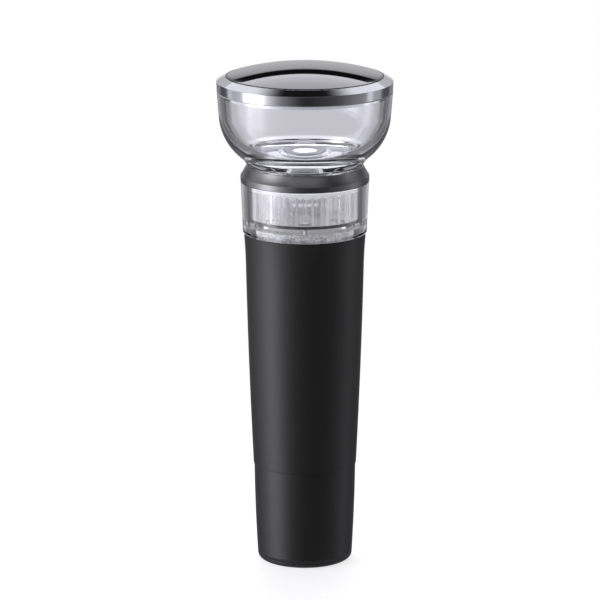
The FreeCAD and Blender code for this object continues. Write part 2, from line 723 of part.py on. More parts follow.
def motor_outline(spare, low, high):
    """The motor's flat-sided round section, grown by spare."""
    wide = MOTOR_FLAT + spare
    deep = MOTOR_R + spare
    return cylinder(deep, low, high).common(block(-wide, wide, -deep, deep, low, high))


def motor_plate():
    low = plate_z - PAST
    high = motor_z + PAST
    plate = tube(gearbox_r, MOTOR_BOSS_R + SEAT, plate_z, motor_z)
    for end in (-1, 1):
        plate = plate.cut(cylinder(SCREW_HOLE_R, low, high, 0, end * plate_screw_r))
        plate = plate.cut(face_screw(end, SEAT))
    return plate


def face_screw(end, spare=0.0):
    """A countersunk screw that holds the motor's face to the plate from below."""
    y = end * (MOTOR_R - FACE_SCREW_IN)
    cone = Part.makeCone(SCREW_HEAD_R + spare, SCREW_R + spare, FACE_SCREW_CONE,
                         Vector(0, y, plate_z), AXIS)
    shank = cylinder(SCREW_R + spare, plate_z + FACE_SCREW_CONE, motor_z + FACE_SCREW_DEPTH, 0, y)
    return cone.fuse(shank).removeSplitter()


def motor_can():
    can = motor_outline(0, motor_z, motor_top)
    floor_top = motor_z + MOTOR_WALL
    can = can.cut(motor_outline(-MOTOR_WALL, floor_top, motor_top + PAST))
    can = can.fuse(cylinder(MOTOR_BOSS_R, plate_z + BOSS_BACK, motor_z)).removeSplitter()
    can = can.cut(cylinder(SHAFT_R + RUNNING, plate_z - PAST, floor_top + PAST))
    for end in (-1, 1):
        y = end * (MOTOR_R - FACE_SCREW_IN)
        can = can.cut(cylinder(SCREW_R, motor_z - PAST, floor_top + PAST, 0, y))
    return can


def motor_end_cap():
    """The plastic end with the rear bearing and the room for the brushes."""
    cap = motor_outline(0, motor_top, motor_top + MOTOR_CAP)
    plug = motor_top - CAP_PLUG
    cap = cap.fuse(motor_outline(-MOTOR_WALL - SEAT, plug, motor_top)).removeSplitter()
    cap = cap.cut(cylinder(BRUSH_ROOM_R, plug - PAST, plug + BRUSH_ROOM))
    return cap.cut(cylinder(SHAFT_R + RUNNING, plug - PAST, motor_top + MOTOR_CAP + PAST))


def motor_magnet():
    """One curved magnet, against the round wall of the can."""
    outer = MOTOR_R - MOTOR_WALL - SEAT
    low = motor_z + MOTOR_WALL + MAGNET_LOW
    magnet = tube(outer, outer - MAGNET, low, motor_top - MAGNET_HIGH)
    wide = MOTOR_FLAT - MOTOR_WALL - MAGNET_SIDE
    return magnet.common(block(-wide, wide, 0, MOTOR_R, low, motor_top))


def armature():
    """The wound core, with three slots between its poles."""
    reach = MOTOR_R - MOTOR_WALL - SEAT - MAGNET - CORE_GAP
    low = motor_z + MOTOR_WALL + CORE_LOW
    high = motor_top - CORE_HIGH
    core = cylinder(reach, low, high)
    slot = block(CORE_SLOT_IN, reach + PAST, -CORE_SLOT / 2, CORE_SLOT / 2, low - PAST, high + PAST)
    for one in around(slot, POLES):
        core = core.cut(one)
    commutator = cylinder(COMMUTATOR_R, high, motor_top - COMMUTATOR_BACK)
    return core.fuse(commutator).removeSplitter().cut(cylinder(SHAFT_R, low - PAST, motor_top))


def chassis():
    """The whole cradle, before it is split: foot, shell, and webs round motor and cells."""
    low = floor_z
    shell = tube(chassis_r, chassis_in_r, low, chassis_top)
    foot = tube(chassis_r, gearbox_r + AIR, low, low + CHASSIS_FOOT)
    rim = tube(chassis_rim_r, chassis_in_r, chassis_rim_z, chassis_top)
    webs = []
    for z in (tray_z, motor_top - WEB_DROP, chassis_top - TOP_WEB_DROP):
        webs.append(cylinder(chassis_in_r + SEAT, z, z + TRAY))
    body = shell.multiFuse([foot, rim] + webs)
    body = body.cut(motor_outline(SLIDING, motor_z - PAST, motor_top + MOTOR_CAP + AIR))
    room_x = DRIVER_ROOM_X / 2
    room_y = DRIVER_ROOM_Y / 2
    high = chassis_top + PAST
    body = body.cut(block(-room_x, room_x, -room_y, room_y, motor_top, high))
    for end in (-1, 1):
        head = cylinder(SCREW_HEAD_R + AIR, motor_z, tray_z + TRAY + PAST, 0, end * plate_screw_r)
        body = body.cut(head)
        for side in (-1, 1):
            bore = cylinder(CELL_R + SLIDING, cell_z - SEAT, high, side * cell_x, end * cell_y)
            body = body.cut(bore)
    for x, y in works_screws():
        body = body.cut(cylinder(SCREW_HOLE_R, low - PAST, low + CHASSIS_FOOT + PAST, x, y))
    return body


def half(shape, end):
    """The part of a shape on one side of the cradle's parting plane, y = 0."""
    gap = SEAT / 2
    reach = chassis_rim_r + PAST
    keep = block(-reach, reach, gap, reach, floor_z - PAST, chassis_top + PAST)
    if end < 0:
        keep.rotate(ORIGIN, AXIS, 180)
    return shape.common(keep)


def lower_contact(side):
    """The brass strip that joins the lower ends of the two cells on one side."""
    low = cell_z - CONTACT
    inner = cell_x - CELL_R + CONTACT_INSET
    long = cell_y + CONTACT_REACH
    strip = block(inner, chassis_in_r, -long, long, low, cell_z)
    strip = strip.common(cylinder(chassis_in_r - AIR, low, cell_z))
    strip.rotate(ORIGIN, AXIS, 0 if side > 0 else 180)
    return strip


def cell(side, end):
    """One AAA cell. The two cells on a side stand opposite ways up."""
    up = side * end > 0
    low = cell_z if up else cell_z + CELL_NUB
    body = cylinder(CELL_R, low, low + CELL_LENGTH - CELL_NUB, side * cell_x, end * cell_y)
    nub_z = cell_top - CELL_NUB if up else cell_z
    nub = cylinder(CELL_NUB_R, nub_z, nub_z + CELL_NUB, side * cell_x, end * cell_y)
    return body.fuse(nub).removeSplitter()


def control_board():
    """The driver board, upright between the cells above the motor."""
    low = motor_top + MOTOR_CAP + AIR
    high = chassis_top - DRIVER_DROP
    board = block(-DRIVER_WIDTH / 2, DRIVER_WIDTH / 2, -DRIVER / 2, DRIVER / 2, low, high)
    deep = DRIVER / 2 + CHIP_THICK
    chips = block(-CHIP / 2, CHIP / 2, -deep, deep, low + CHIP_RISE, low + CHIP_RISE + CHIP)
    return board.fuse(chips).removeSplitter()


def make_housing():
    save("outer_sleeve", [outer_sleeve()])
    save("clip_ring", [clip_ring()])
    save("cork_tube", [cork_tube()])
    save("lip_cushion", [tube(NECK_BORE_R - SEAT, CORK_BORE_R + AIR, lip_z - LIP_CUSHION, lip_z)])
    save("gear_housing", [gear_housing()])
    bush = tube(SPINDLE_R + BUSH_WALL, SPINDLE_R + RUNNING, ceiling_z, floor_z)
    save("output_bush", [bush])
    screws = [screw(WORKS_SCREW, x, y, floor_z + CHASSIS_FOOT) for x, y in works_screws()]
    save("works_screws", screws)
    save("motor_plate", [motor_plate()])
    plate_screws = [screw(PLATE_SCREW, 0, end * plate_screw_r, motor_z) for end in (-1, 1)]
    save("motor_screws", plate_screws + [face_screw(-1), face_screw(1)])
    save("motor_can", [motor_can()])
    save("motor_end_cap", [motor_end_cap()])
    save("motor_magnets", around(motor_magnet(), 2))
    whole = chassis()
    save("chassis_front", [half(whole, -1)])
    save("chassis_rear", [half(whole, 1)])
    save("lower_contacts", [lower_contact(side) for side in (-1, 1)])
    save("battery_cells", [cell(side, end) for side in (-1, 1) for end in (-1, 1)])
    save("control_board", [control_board()])


# ---- what turns ----

def make_rotor():
    save("motor_shaft", [cylinder(SHAFT_R, planet_1_z, motor_top + MOTOR_CAP - SHAFT_BACK)])
    save("armature", [armature()])
    pinion = outer_gear(SUN_TEETH, planet_1_z, planet_1_z + PLANET_1_WIDTH + PINION_PROUD)
    save("sun_pinion", [pinion.cut(cylinder(SHAFT_R, planet_1_z - PAST, plate_z))])


def make_stage_1():
    sun = outer_gear(SUN_TEETH, planet_2_z, carrier_1_z)
    plate = carrier(carrier_1_z, CARRIER_1, planet_1_z + PLANET_1_WIDTH + PIN_PROUD)
    save("carrier_1", [plate.fuse(sun).removeSplitter()])
    for i, gear in enumerate(planets(planet_1_z, planet_1_z + PLANET_1_WIDTH)):
        save("planet_1_" + "abc"[i], [gear])


def worm():
    """The helical worm: a pointed tip, an even coil, and a post that stands in the hub."""
    low = worm_tip_z + TIP_DROP
    coil_top = hub_z - WIRE_TO_HUB
    wire = helix_wire(WORM_R, WIRE_R, WORM_PITCH, low, coil_top)
    rise = coil_top - low - 2 * WIRE_R
    end = at(WORM_R, 360.0 * rise / WORM_PITCH, coil_top - WIRE_R)
    post = cylinder(WIRE_R, end.z, hub_middle - POST_SPARE, end.x, end.y)
    ball = Part.makeSphere(WIRE_R, end)
    back = Vector(0, -1, -WORM_PITCH / (2 * math.pi * WORM_R)).normalize()
    start = Vector(WORM_R, 0, low + WIRE_R)
    tip = Part.makeCone(WIRE_R, TIP_R, TIP_LENGTH, start, back)
    knee = Part.makeSphere(WIRE_R, start)
    return wire.multiFuse([post, ball, tip, knee]), end


def make_output():
    spiral, end = worm()
    spindle = cylinder(SPINDLE_R, hub_middle, carrier_2_z)
    plate = carrier(carrier_2_z, CARRIER_2, planet_2_z + PLANET_2_WIDTH + PIN_PROUD)
    save("carrier_2", [plate.fuse(spindle).removeSplitter()])
    hub = cylinder(HUB_R, hub_z, hub_z + HUB_HEIGHT)
    rims = [edge for edge in hub.Edges if isinstance(edge.Curve, Part.Circle)]
    hub = hub.makeChamfer(HUB_CHAMFER, rims)
    hub = hub.cut(cylinder(SPINDLE_R, hub_middle, ceiling_z))
    hub = hub.cut(cylinder(WIRE_R, hub_z - PAST, hub_middle - POST_SPARE, end.x, end.y))
    save("worm_hub", [hub])
    save("worm", [spiral])
    for i, gear in enumerate(planets(planet_2_z, planet_2_z + PLANET_2_WIDTH)):
        save("planet_2_" + "abc"[i], [gear])


# ---- top unit ----

def window_cup():
    """The clear window ring, its floor, and the spigot that plugs into the sleeve."""
    groove_r = o_ring_r - O_RING_R - GROOVE_SPARE
    groove_low = o_ring_z - O_RING_R - GROOVE_SIDE
    groove_high = o_ring_z + O_RING_R + GROOVE_SIDE
    cup = lathe((spigot_in_r, spigot_z), (spigot_r, spigot_z), (spigot_r, groove_low),
                (groove_r, groove_low), (groove_r, groove_high), (spigot_r, groove_high),
                (spigot_r, window_z), (window_bottom_r - BEVEL, window_z),
                (window_bottom_r, window_z + BEVEL), (window_top_r, window_top),
                (window_in_r, window_top), (window_in_r, board_z),
                (spigot_in_r - FLOOR_RIM, board_z), (spigot_in_r - FLOOR_RIM, window_floor_z),
                (spigot_in_r, window_floor_z))
    hole_top = plate_bottom + TOP_SCREW + SCREW_SPARE
    for x, y in plate_screws_at():
        cup = cup.cut(cylinder(SCREW_R, window_floor_z - PAST, hole_top, x, y))
    return cup


def plate_screws_at():
    """Where the four screws stand that hold the contact plate under the window's floor."""
    radius = spigot_in_r - FLOOR_RIM / 2
    places = [at(radius, 90 * i) for i in range(4)]
    return [(place.x, place.y) for place in places]


def contact_plate():
    plate = tube(spigot_in_r - AIR, PLATE_HOLE_R, plate_bottom, window_floor_z)
    for x, y in plate_screws_at():
        hole = cylinder(SCREW_HOLE_R, plate_bottom - PAST, window_floor_z + PAST, x, y)
        plate = plate.cut(hole)
    return plate


def plate_screw(x, y):
    """A screw that stands head down under the contact plate."""
    one = screw(TOP_SCREW, x, y, 0)
    one.rotate(Vector(x, y, 0), Vector(1, 0, 0), 180)
    one.translate(Vector(0, 0, plate_bottom))
    return one


def lamp():
    """A domed lamp lens that stands on the board."""
    side = LAMP_R * math.sqrt(0.5)
    dome_z = board_top + LAMP_STEM
    lens = lathe((0, board_top), (LAMP_R, board_top), (LAMP_R, dome_z),
                 ((side, dome_z + side), (0, dome_z + LAMP_R)))
    lens.translate(Vector(lamp_circle, 0, 0))
    return lens


def fluted_diffuser():
    """The ribbed sleeve of frosted plastic that spreads the lamps' light."""
    drum = cylinder(fluted_r, board_top, deck_z)
    rib = cylinder(FLUTE_R, board_top, deck_z, fluted_r, 0)
    drum = drum.multiFuse(around(rib, FLUTES)).removeSplitter()
    return drum.cut(cylinder(fluted_r - FLUTED_WALL, board_top - PAST, deck_z + PAST))


def stem_guide():
    """The white deck under the collar, with the bush that the head's stem slides in."""
    low = clip_top + AIR
    deck = cylinder(window_in_r - SEAT, deck_z, deck_top)
    guide = cylinder(STEM_R + GUIDE_WALL, low, deck_top).fuse(deck).removeSplitter()
    return guide.cut(cylinder(STEM_R + SEAT, low - PAST, deck_top + PAST))


def collar_ring():
    """The metal collar: lip in the window, straight band, and the cone up to its mouth."""
    band_top = window_top + COLLAR_BAND
    low = (collar_r, band_top)
    rim = (collar_rim_r, collar_top)
    seat_r = COLLAR_MOUTH_R - COLLAR_SEAT
    seat_top = foot_z - HEAD_TRAVEL - FOOT_ROOM
    lip_r = window_in_r - SEAT
    return lathe((seat_r, deck_top), (lip_r, deck_top), (lip_r, window_top),
                 (collar_r - BEVEL, window_top), (collar_r, window_top + BEVEL), low,
                 bulged(low, rim, -COLLAR_HOLLOW), (COLLAR_MOUTH_R, collar_top),
                 (COLLAR_MOUTH_R, seat_top), (seat_r, seat_top))


def make_top_unit():
    save("window_cup", [window_cup()])
    save("contact_plate", [contact_plate()])
    save("top_screws", [plate_screw(x, y) for x, y in plate_screws_at()])
    one = spring(CONTACT_COIL_R, CONTACT_WIRE_R, CONTACT_TURNS, cell_top + AIR, plate_bottom)
    coils = []
    for side in (-1, 1):
        for end in (-1, 1):
            placed = one.copy()
            placed.translate(Vector(side * cell_x, end * cell_y, 0))
            coils.append(placed)
    save("contact_springs", coils)
    save("top_o_ring", [Part.makeTorus(o_ring_r, O_RING_R, Vector(0, 0, o_ring_z), AXIS)])
    board = cylinder(window_in_r - SEAT, board_z, board_top)
    wires = cylinder(WIRE_HOLE_R, board_z - PAST, board_top + PAST, WIRE_HOLE_X, 0)
    save("lamp_board", [board.cut(wires)])
    save("lamp_lenses", around(lamp(), LAMPS, -90.0))
    save("fluted_diffuser", [fluted_diffuser()])
    save("stem_guide", [stem_guide()])
    save("collar_ring", [collar_ring()])
    half_side = SWITCH_SIDE / 2
    switch = block(-half_side, half_side, -half_side, half_side, board_top, switch_top)
    plunger_z = plunger_top - PLUNGER_DEPTH
    well = plunger_z - HEAD_TRAVEL - WELL_SPARE
    save("switch_body", [switch.cut(cylinder(PLUNGER_R + RUNNING, well, switch_top + PAST))])
    save("switch_plunger", [cylinder(PLUNGER_R, plunger_z, plunger_top)])
    middle_r = (STEM_BORE_R + STEM_R) / 2
    save("head_spring", [spring(middle_r, SPRING_WIRE_R, SPRING_TURNS, board_top, stem_z - AIR)])


# ---- push head ----

def head_bowl():
    """The thick clear bowl, its foot ring and the boss that grips the stem."""
    slope = BOWL_DRAFT / BOWL_SHOULDER
    shoulder_z = bowl_top - BOWL_SHOULDER
    corner = (collar_rim_r + BOWL_CORNER, flare_z + CORNER_RISE)
    outer = (bezel_rim_r - BOWL_DRAFT, shoulder_z)
    floor = (FLOOR_R, dish_z)
    inner = (outer[0] - BOWL_WALL, shoulder_z + INNER_RISE)
    dish = (STEM_R + DISH_RING, boss_top)
    recess_r = foot_r - FOOT_RING
    boss_r = STEM_R + FOOT_BOSS
    recess_z = foot_z + FOOT_RECESS
    return lathe((STEM_R, foot_z), (boss_r, foot_z), (boss_r, recess_z), (recess_r, recess_z),
                 (recess_r, foot_z), (foot_r, foot_z), (foot_r, flare_z - FLARE_STEP),
                 (collar_rim_r + FLARE_STEP, flare_z + FLARE_STEP), corner,
                 tangent_arc(corner, outer, slope), (bezel_rim_r, bowl_top),
                 (bezel_rim_r - BOWL_WALL, bowl_top), inner,
                 (tangent_arc(floor, inner, slope)[0], floor), bulged(floor, dish, DISH_BOW),
                 (STEM_R, boss_top))


def stem_tube():
    """The metal tube through the bowl's floor, flanged above and grooved for its clip."""
    groove_r = STEM_R - CLIP_GROOVE
    clip_z = clip_top - CLIP
    lip = boss_top + STEM_LIP
    return lathe((STEM_BORE_R, stem_z), (STEM_R, stem_z), (STEM_R, clip_z), (groove_r, clip_z),
                 (groove_r, clip_top), (STEM_R, clip_top), (STEM_R, boss_top),
                 (STEM_R + STEM_FLANGE, boss_top), (STEM_R + STEM_FLANGE, lip),
                 (STEM_BORE_R, lip))


def stem_clip():
    """The open ring that stops the head from lifting out of its guide."""
    clip_z = clip_top - CLIP
    inner = STEM_R - CLIP_GROOVE
    outer = inner + CLIP_PROUD
    gap = CLIP_OPENING / 2
    ring = tube(outer, inner, clip_z, clip_top)
    return ring.cut(block(0, outer + PAST, -gap, gap, clip_z - PAST, clip_top + PAST))


def bezel_ring():
    """The metal rim: band, sloped face, a seat for the dome and a spigot in the bowl."""
    low = bezel_z - BEZEL_SPIGOT
    plug_r = bezel_rim_r - BOWL_WALL - BEZEL_SPIGOT * BOWL_DRAFT / BOWL_SHOULDER - SEAT
    inner = plug_r - BEZEL_WALL
    seat_z = bezel_top - DOME_SEAT
    return lathe((inner, low), (plug_r, low), (plug_r, bezel_z), (bezel_rim_r, bezel_z),
                 (HEAD_R, bezel_edge_z), (bezel_in_r, bezel_top), (bezel_in_r, seat_z),
                 (inner, seat_z))


def lens_dome():
    """The shallow dark dome in the middle of the bezel."""
    rim = bezel_in_r - SEAT
    low = bezel_top - DOME_SEAT
    apex = bezel_top + DOME_HEIGHT
    sphere_r = (rim ** 2 + DOME_HEIGHT ** 2) / (2 * DOME_HEIGHT)
    centre = Vector(0, 0, apex - sphere_r)
    dome = cylinder(rim, low, apex + PAST).common(Part.makeSphere(sphere_r, centre))
    return dome.cut(Part.makeSphere(sphere_r - DOME_THICK, centre))


def make_push_head():
    save("head_bowl", [head_bowl()])
    save("stem_tube", [stem_tube()])
    save("light_pipe", [cylinder(STEM_BORE_R, pipe_z, boss_top + PIPE_TOP)])
    save("stem_clip", [stem_clip()])
    seal_in_r = bezel_rim_r - BOWL_WALL + SEAT
    save("bezel_seal", [tube(bezel_rim_r - SEAL_INSET, seal_in_r, bowl_top, bezel_z)])
    save("bezel_ring", [bezel_ring()])
    save("lens_dome", [lens_dome()])


def main():
    os.makedirs("parts", exist_ok=True)
    make_foil_cutter()
    make_housing()
    make_rotor()
    make_stage_1()
    make_output()
    make_top_unit()
    make_push_head()


main()
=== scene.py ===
import json
import math

import bmesh
import bpy
from mathutils import Matrix, Vector


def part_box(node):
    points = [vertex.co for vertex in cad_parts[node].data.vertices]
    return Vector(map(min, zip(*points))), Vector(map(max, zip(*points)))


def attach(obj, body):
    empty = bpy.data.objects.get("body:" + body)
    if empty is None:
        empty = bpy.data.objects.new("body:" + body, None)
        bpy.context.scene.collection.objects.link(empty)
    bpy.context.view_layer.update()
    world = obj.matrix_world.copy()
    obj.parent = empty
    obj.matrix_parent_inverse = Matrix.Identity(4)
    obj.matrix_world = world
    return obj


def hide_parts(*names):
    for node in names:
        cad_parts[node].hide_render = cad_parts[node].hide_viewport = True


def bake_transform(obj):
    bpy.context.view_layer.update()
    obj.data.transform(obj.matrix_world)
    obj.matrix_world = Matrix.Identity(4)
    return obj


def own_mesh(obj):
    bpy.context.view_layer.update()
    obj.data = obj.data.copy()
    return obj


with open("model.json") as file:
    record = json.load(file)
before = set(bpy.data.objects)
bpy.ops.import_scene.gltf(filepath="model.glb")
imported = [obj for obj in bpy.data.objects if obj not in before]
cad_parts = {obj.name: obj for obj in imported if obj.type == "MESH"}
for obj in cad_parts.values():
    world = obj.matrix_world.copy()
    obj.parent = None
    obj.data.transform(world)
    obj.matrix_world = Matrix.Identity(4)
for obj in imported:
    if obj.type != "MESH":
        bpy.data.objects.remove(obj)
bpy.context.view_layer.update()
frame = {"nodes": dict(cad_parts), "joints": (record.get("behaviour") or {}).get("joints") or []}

bl_info = {
    "name": "Wine Opener Looks",
    "version": (1, 0, 0),
    "blender": (4, 5, 0),
    "location": "View3D > Sidebar > Opener",
    "description": "Detailed pieces and finishes round the parts of an electric wine opener",
    "category": "Object",
}

MM = 0.001
TURN_STEPS = 224        # facets round a turned piece
HEAD_STEPS = 288        # facets round the wide pieces of the push head
SMALL_STEPS = 64        # facets round a cell or a lamp
ARC_STEPS = 24          # facets along a curved side
WALL_STEPS = 40         # facets along the bowl's wall and the dome
CORNER_STEPS = 4        # facets in a softened corner
CORNER_SHARE = 0.45     # the most of a side that a softened corner takes
FLAT_WEIGHT = 60        # how strongly flat faces hold their shading

FLUTES = 36             # round the diffuser
FLUTE_STEPS = 16        # facets of one flute
LAMPS = 6
FOUR = ((-1, -1), (-1, 1), (1, -1), (1, 1))     # signs of x and y at the four cells

# in millimetres
SOFT_CORNER = 0.12      # how far a corner is softened
EDGE_BLEND = 0.1        # over which one finish on a piece gives way to another
ON_AXIS = 1e-6          # a smaller radius is the axis itself
RIM_BAND = 0.5          # how near the widest radius a wave still reaches
LEAF = 0.2              # thickness of the jaws' leaf springs
LEAF_GAP = 0.03         # between them and the chamber's wall
CELL_R = 5.25           # a cell's radius
CONTACT_R = 2.2         # radius of a contact coil, to the middle of its wire
CONTACT_WIRE_R = 0.25
SPRING_R = 7.25         # the same of the head's return spring
SPRING_WIRE_R = 0.45
LENS_R = 3.0            # foot of a lamp's lens
CHIP = 0.75             # half the width of a lamp's chip
FLUTE_R = 0.8           # a flute of the diffuser
SKIN = 0.2              # how far the dimpled skin stands out from the contact plate
BOWL_SLOPE = 0.85 / 11.0    # how much the bowl's side leans out (dr/dz)
DOME_R = 33.65          # the dome's rim
DOME_INNER_R = 32.67
DOME_RISE = 5.0         # its middle above the bezel's top
DOME_WALL = 2.2


# ---- outlines, in millimetres: (radius, height) or (radius, height, corner softness) ----

def bow(start, end, bulge, steps=ARC_STEPS):
    """Points from start to end along an arc that stands out by bulge at its middle."""
    points = []
    for i in range(steps + 1):
        share = i / steps
        out = 4 * bulge * share * (1 - share)
        points.append((start[0] + (end[0] - start[0]) * share + out,
                       start[1] + (end[1] - start[1]) * share, 0))
    return points


def tangent_arc(start, end, slope):
    """Points along an arc from start that meets a side of the given slope (dr/dz) at end."""
    length = math.hypot(1, slope)
    normal = (-1 / length, slope / length)
    across = (start[0] - end[0], start[1] - end[1])
    along = normal[0] * across[0] + normal[1] * across[1]
    radius = (across[0] ** 2 + across[1] ** 2) / (2 * along)
    centre = (end[0] + normal[0] * radius, end[1] + normal[1] * radius)
    first = math.atan2(start[1] - centre[1], start[0] - centre[0])
    last = math.atan2(end[1] - centre[1], end[0] - centre[0])
    points = []
    for i in range(WALL_STEPS + 1):
        angle = first + (last - first) * i / WALL_STEPS
        points.append((centre[0] + radius * math.cos(angle),
                       centre[1] + radius * math.sin(angle), 0))
    return points


def softened(corners):
    """The closed outline with each corner drawn as a short curve."""
    points = []
    count = len(corners)
    for i, corner in enumerate(corners):
        reach = corner[2] if len(corner) > 2 else SOFT_CORNER
        here = Vector(corner[:2])
        if reach == 0 or here.x == 0:
            points.append(tuple(here))
            continue
        back = Vector(corners[i - 1][:2]) - here
        on = Vector(corners[(i + 1) % count][:2]) - here
        first = here + back.normalized() * min(reach, back.length * CORNER_SHARE)
        last = here + on.normalized() * min(reach, on.length * CORNER_SHARE)
        for step in range(CORNER_STEPS + 1):
            share = step / CORNER_STEPS
            points.append(tuple(first * (1 - share) ** 2 + here * (2 * share * (1 - share))
                                + last * share ** 2))
    return points


def arc(centre, across, up, last, steps):
    """Points on an ellipse from its side up to the angle last, both ends among them."""
    return [(centre[0] + across * math.cos(last * i / steps),
             centre[1] + up * math.sin(last * i / steps), 0) for i in range(steps + 1)]


def dome_arc(radius, centre_z, rim, steps):
    """Points on a sphere from its top down to the radius rim, both ends among them."""
    last = math.asin(rim / radius)
    return [(radius * math.sin(last * i / steps),
             centre_z + radius * math.cos(last * i / steps), 0) for i in range(steps + 1)]


# ---- meshes ----

def add_turned(mesh, outline, x=0.0, y=0.0, steps=TURN_STEPS, wave=None):
    """Turns a closed outline about a vertical line. wave(angle) adds to the outer radii."""
    rings = []
    widest = max(r for r, z in outline)
    for r, z in outline:
        if r < ON_AXIS:
            rings.append([mesh.verts.new((x * MM, y * MM, z * MM))])
            continue
        ring = []
        for i in range(steps):
            angle = 2 * math.pi * i / steps
            reach = r + (wave(angle) if wave and r > widest - RIM_BAND else 0)
            ring.append(mesh.verts.new(((x + reach * math.cos(angle)) * MM,
                                        (y + reach * math.sin(angle)) * MM, z * MM)))
        rings.append(ring)
    for here, there in zip(rings, rings[1:] + rings[:1]):
        if len(here) == 1 and len(there) == 1:
            continue
        for i in range(steps):
            j = (i + 1) % steps
            corners = [here[i % len(here)], here[j % len(here)],
                       there[j % len(there)], there[i % len(there)]]
            corners = [v for k, v in enumerate(corners) if v not in corners[:k]]
            mesh.faces.new(corners)


def add_swept(mesh, rings):
    """Joins rings of vertices, one after another, and closes both ends."""
    for here, there in zip(rings, rings[1:]):
        for k in range(len(here)):
            mesh.faces.new((here[k - 1], here[k], there[k], there[k - 1]))
    for ring in (rings[0], rings[-1]):
        mesh.faces.new(ring)


def add_coil(mesh, radius, wire_r, turns, low, high, x=0.0, y=0.0, sides=14, steps=44):
    """A round wire wound from low to high, its ends closed."""
    rise = high - low - 2 * wire_r
    count = round(turns * steps)
    rings = []
    for i in range(count + 1):
        share = i / count
        turn = 2 * math.pi * turns * share
        out = Vector((math.cos(turn), math.sin(turn), 0))
        middle = Vector((x, y, low + wire_r + rise * share)) + out * radius
        ring = []
        for k in range(sides):
            a = 2 * math.pi * k / sides
            spot = middle + out * (wire_r * math.cos(a)) + Vector((0, 0, wire_r * math.sin(a)))
            ring.append(mesh.verts.new(spot * MM))
        rings.append(ring)
    add_swept(mesh, rings)


def add_block(mesh, low, high, soft):
    """A block between two corners, its edges bevelled."""
    size = Vector(high) - Vector(low)
    middle = (Vector(high) + Vector(low)) / 2
    place = Matrix.Translation(middle * MM) @ Matrix.Diagonal((*(size * MM), 1))
    made = bmesh.ops.create_cube(mesh, size=1.0, matrix=place)
    edges = list({edge for vert in made["verts"] for edge in vert.link_edges})
    bmesh.ops.bevel(mesh, geom=edges, offset=soft * MM, segments=2, affect="EDGES", profile=0.5)


def piece_from(name, mesh):
    """A smooth-shaded object from a finished bmesh, which is freed. Flat faces stay flat."""
    bmesh.ops.recalc_face_normals(mesh, faces=mesh.faces)
    data = bpy.data.meshes.new(name)
    mesh.to_mesh(data)
    mesh.free()
    for face in data.polygons:
        face.use_smooth = True
    piece = bpy.data.objects.new(name, data)
    bpy.context.scene.collection.objects.link(piece)
    flats = piece.modifiers.new("Flats", "WEIGHTED_NORMAL")
    flats.mode = "FACE_AREA"
    flats.weight = FLAT_WEIGHT
    return piece


def fit(piece, body, slot, material, *nodes):
    """Gives a piece its finish, its body if it has one, and the nodes that it stands for."""
    piece.data.materials.append(material)
    if body:
        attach(piece, body)
    if nodes:
        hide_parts(*nodes)
    return piece


def lathe(name, corners, body, slot, material, *nodes, **more):
    """Turns a piece from one outline, its corners softened, and fits it."""
    mesh = bmesh.new()
    add_turned(mesh, softened(corners), **more)
    return fit(piece_from(name, mesh), body, slot, material, *nodes)


def reach_of(joint):
    """How far a sliding joint goes, in metres."""
    return max(each["range_m"][1] for each in frame["joints"] if each["name"] == joint)


def dress(material, *nodes):
    """Gives CAD nodes that are shown as they are their finish."""
    for node in nodes:
        for slot in frame["nodes"][node].material_slots:
            slot.material = material


# ---- shader nodes ----

def maths_of(operation):
    """A method of Wire that adds one Math node."""
    return lambda wire, *others: wire.nodes.maths(operation, wire, *others)


class Wire:
    """An output socket. Arithmetic on it adds Math nodes."""

    def __init__(self, nodes, socket):
        self.nodes = nodes
        self.socket = socket

    __add__ = __radd__ = maths_of("ADD")
    __sub__ = maths_of("SUBTRACT")
    __mul__ = __rmul__ = maths_of("MULTIPLY")
    __truediv__ = maths_of("DIVIDE")
    __pow__ = maths_of("POWER")
    __abs__ = maths_of("ABSOLUTE")

    def __rsub__(self, other):
        return self.nodes.maths("SUBTRACT", other, self)


class Nodes:
    """Adds nodes to one tree."""

    def __init__(self, tree):
        self.tree = tree
        tree.nodes.clear()

    def node(self, kind, settings=None, values=None, output=0):
        """One node: its settings first, then the values or links of its sockets."""
        made = self.tree.nodes.new(kind)
        for name, value in (settings or {}).items():
            if name == "stops":
                ramp = made.color_ramp
                while len(ramp.elements) < len(value):
                    ramp.elements.new(1.0)
                for element, (place, colour) in zip(ramp.elements, value):
                    element.position = place
                    element.color = (*colour, 1.0)
            else:
                setattr(made, name, value)
        for name, value in (values or {}).items():
            if isinstance(value, Wire):
                self.tree.links.new(value.socket, made.inputs[name])
            else:
                made.inputs[name].default_value = value
        return Wire(self, made.outputs[output]) if made.outputs else None

    def maths(self, operation, *values):
        return self.node("ShaderNodeMath", {"operation": operation}, dict(enumerate(values)))

    def step(self, value, low, high):
        """0 below low, 1 above high, and smooth between them."""
        return self.node("ShaderNodeMapRange", {"interpolation_type": "SMOOTHSTEP"},
                         {"Value": value, "From Min": low, "From Max": high})

    def mix(self, share, first, second):
        """A colour between two colours. The sockets are numbered because their names repeat."""
        first = first if isinstance(first, Wire) else (*first, 1.0)
        second = second if isinstance(second, Wire) else (*second, 1.0)
        return self.node("ShaderNodeMix", {"data_type": "RGBA"},
                         {0: share, 6: first, 7: second}, output=2)

    def combined(self, x, y, z):
        return self.node("ShaderNodeCombineXYZ", None, {"X": x, "Y": y, "Z": z})

    def split(self, vector):
        parts = self.node("ShaderNodeSeparateXYZ", None, {"Vector": vector})
        outputs = parts.socket.node.outputs
        return [Wire(self, outputs[axis]) for axis in "XYZ"]


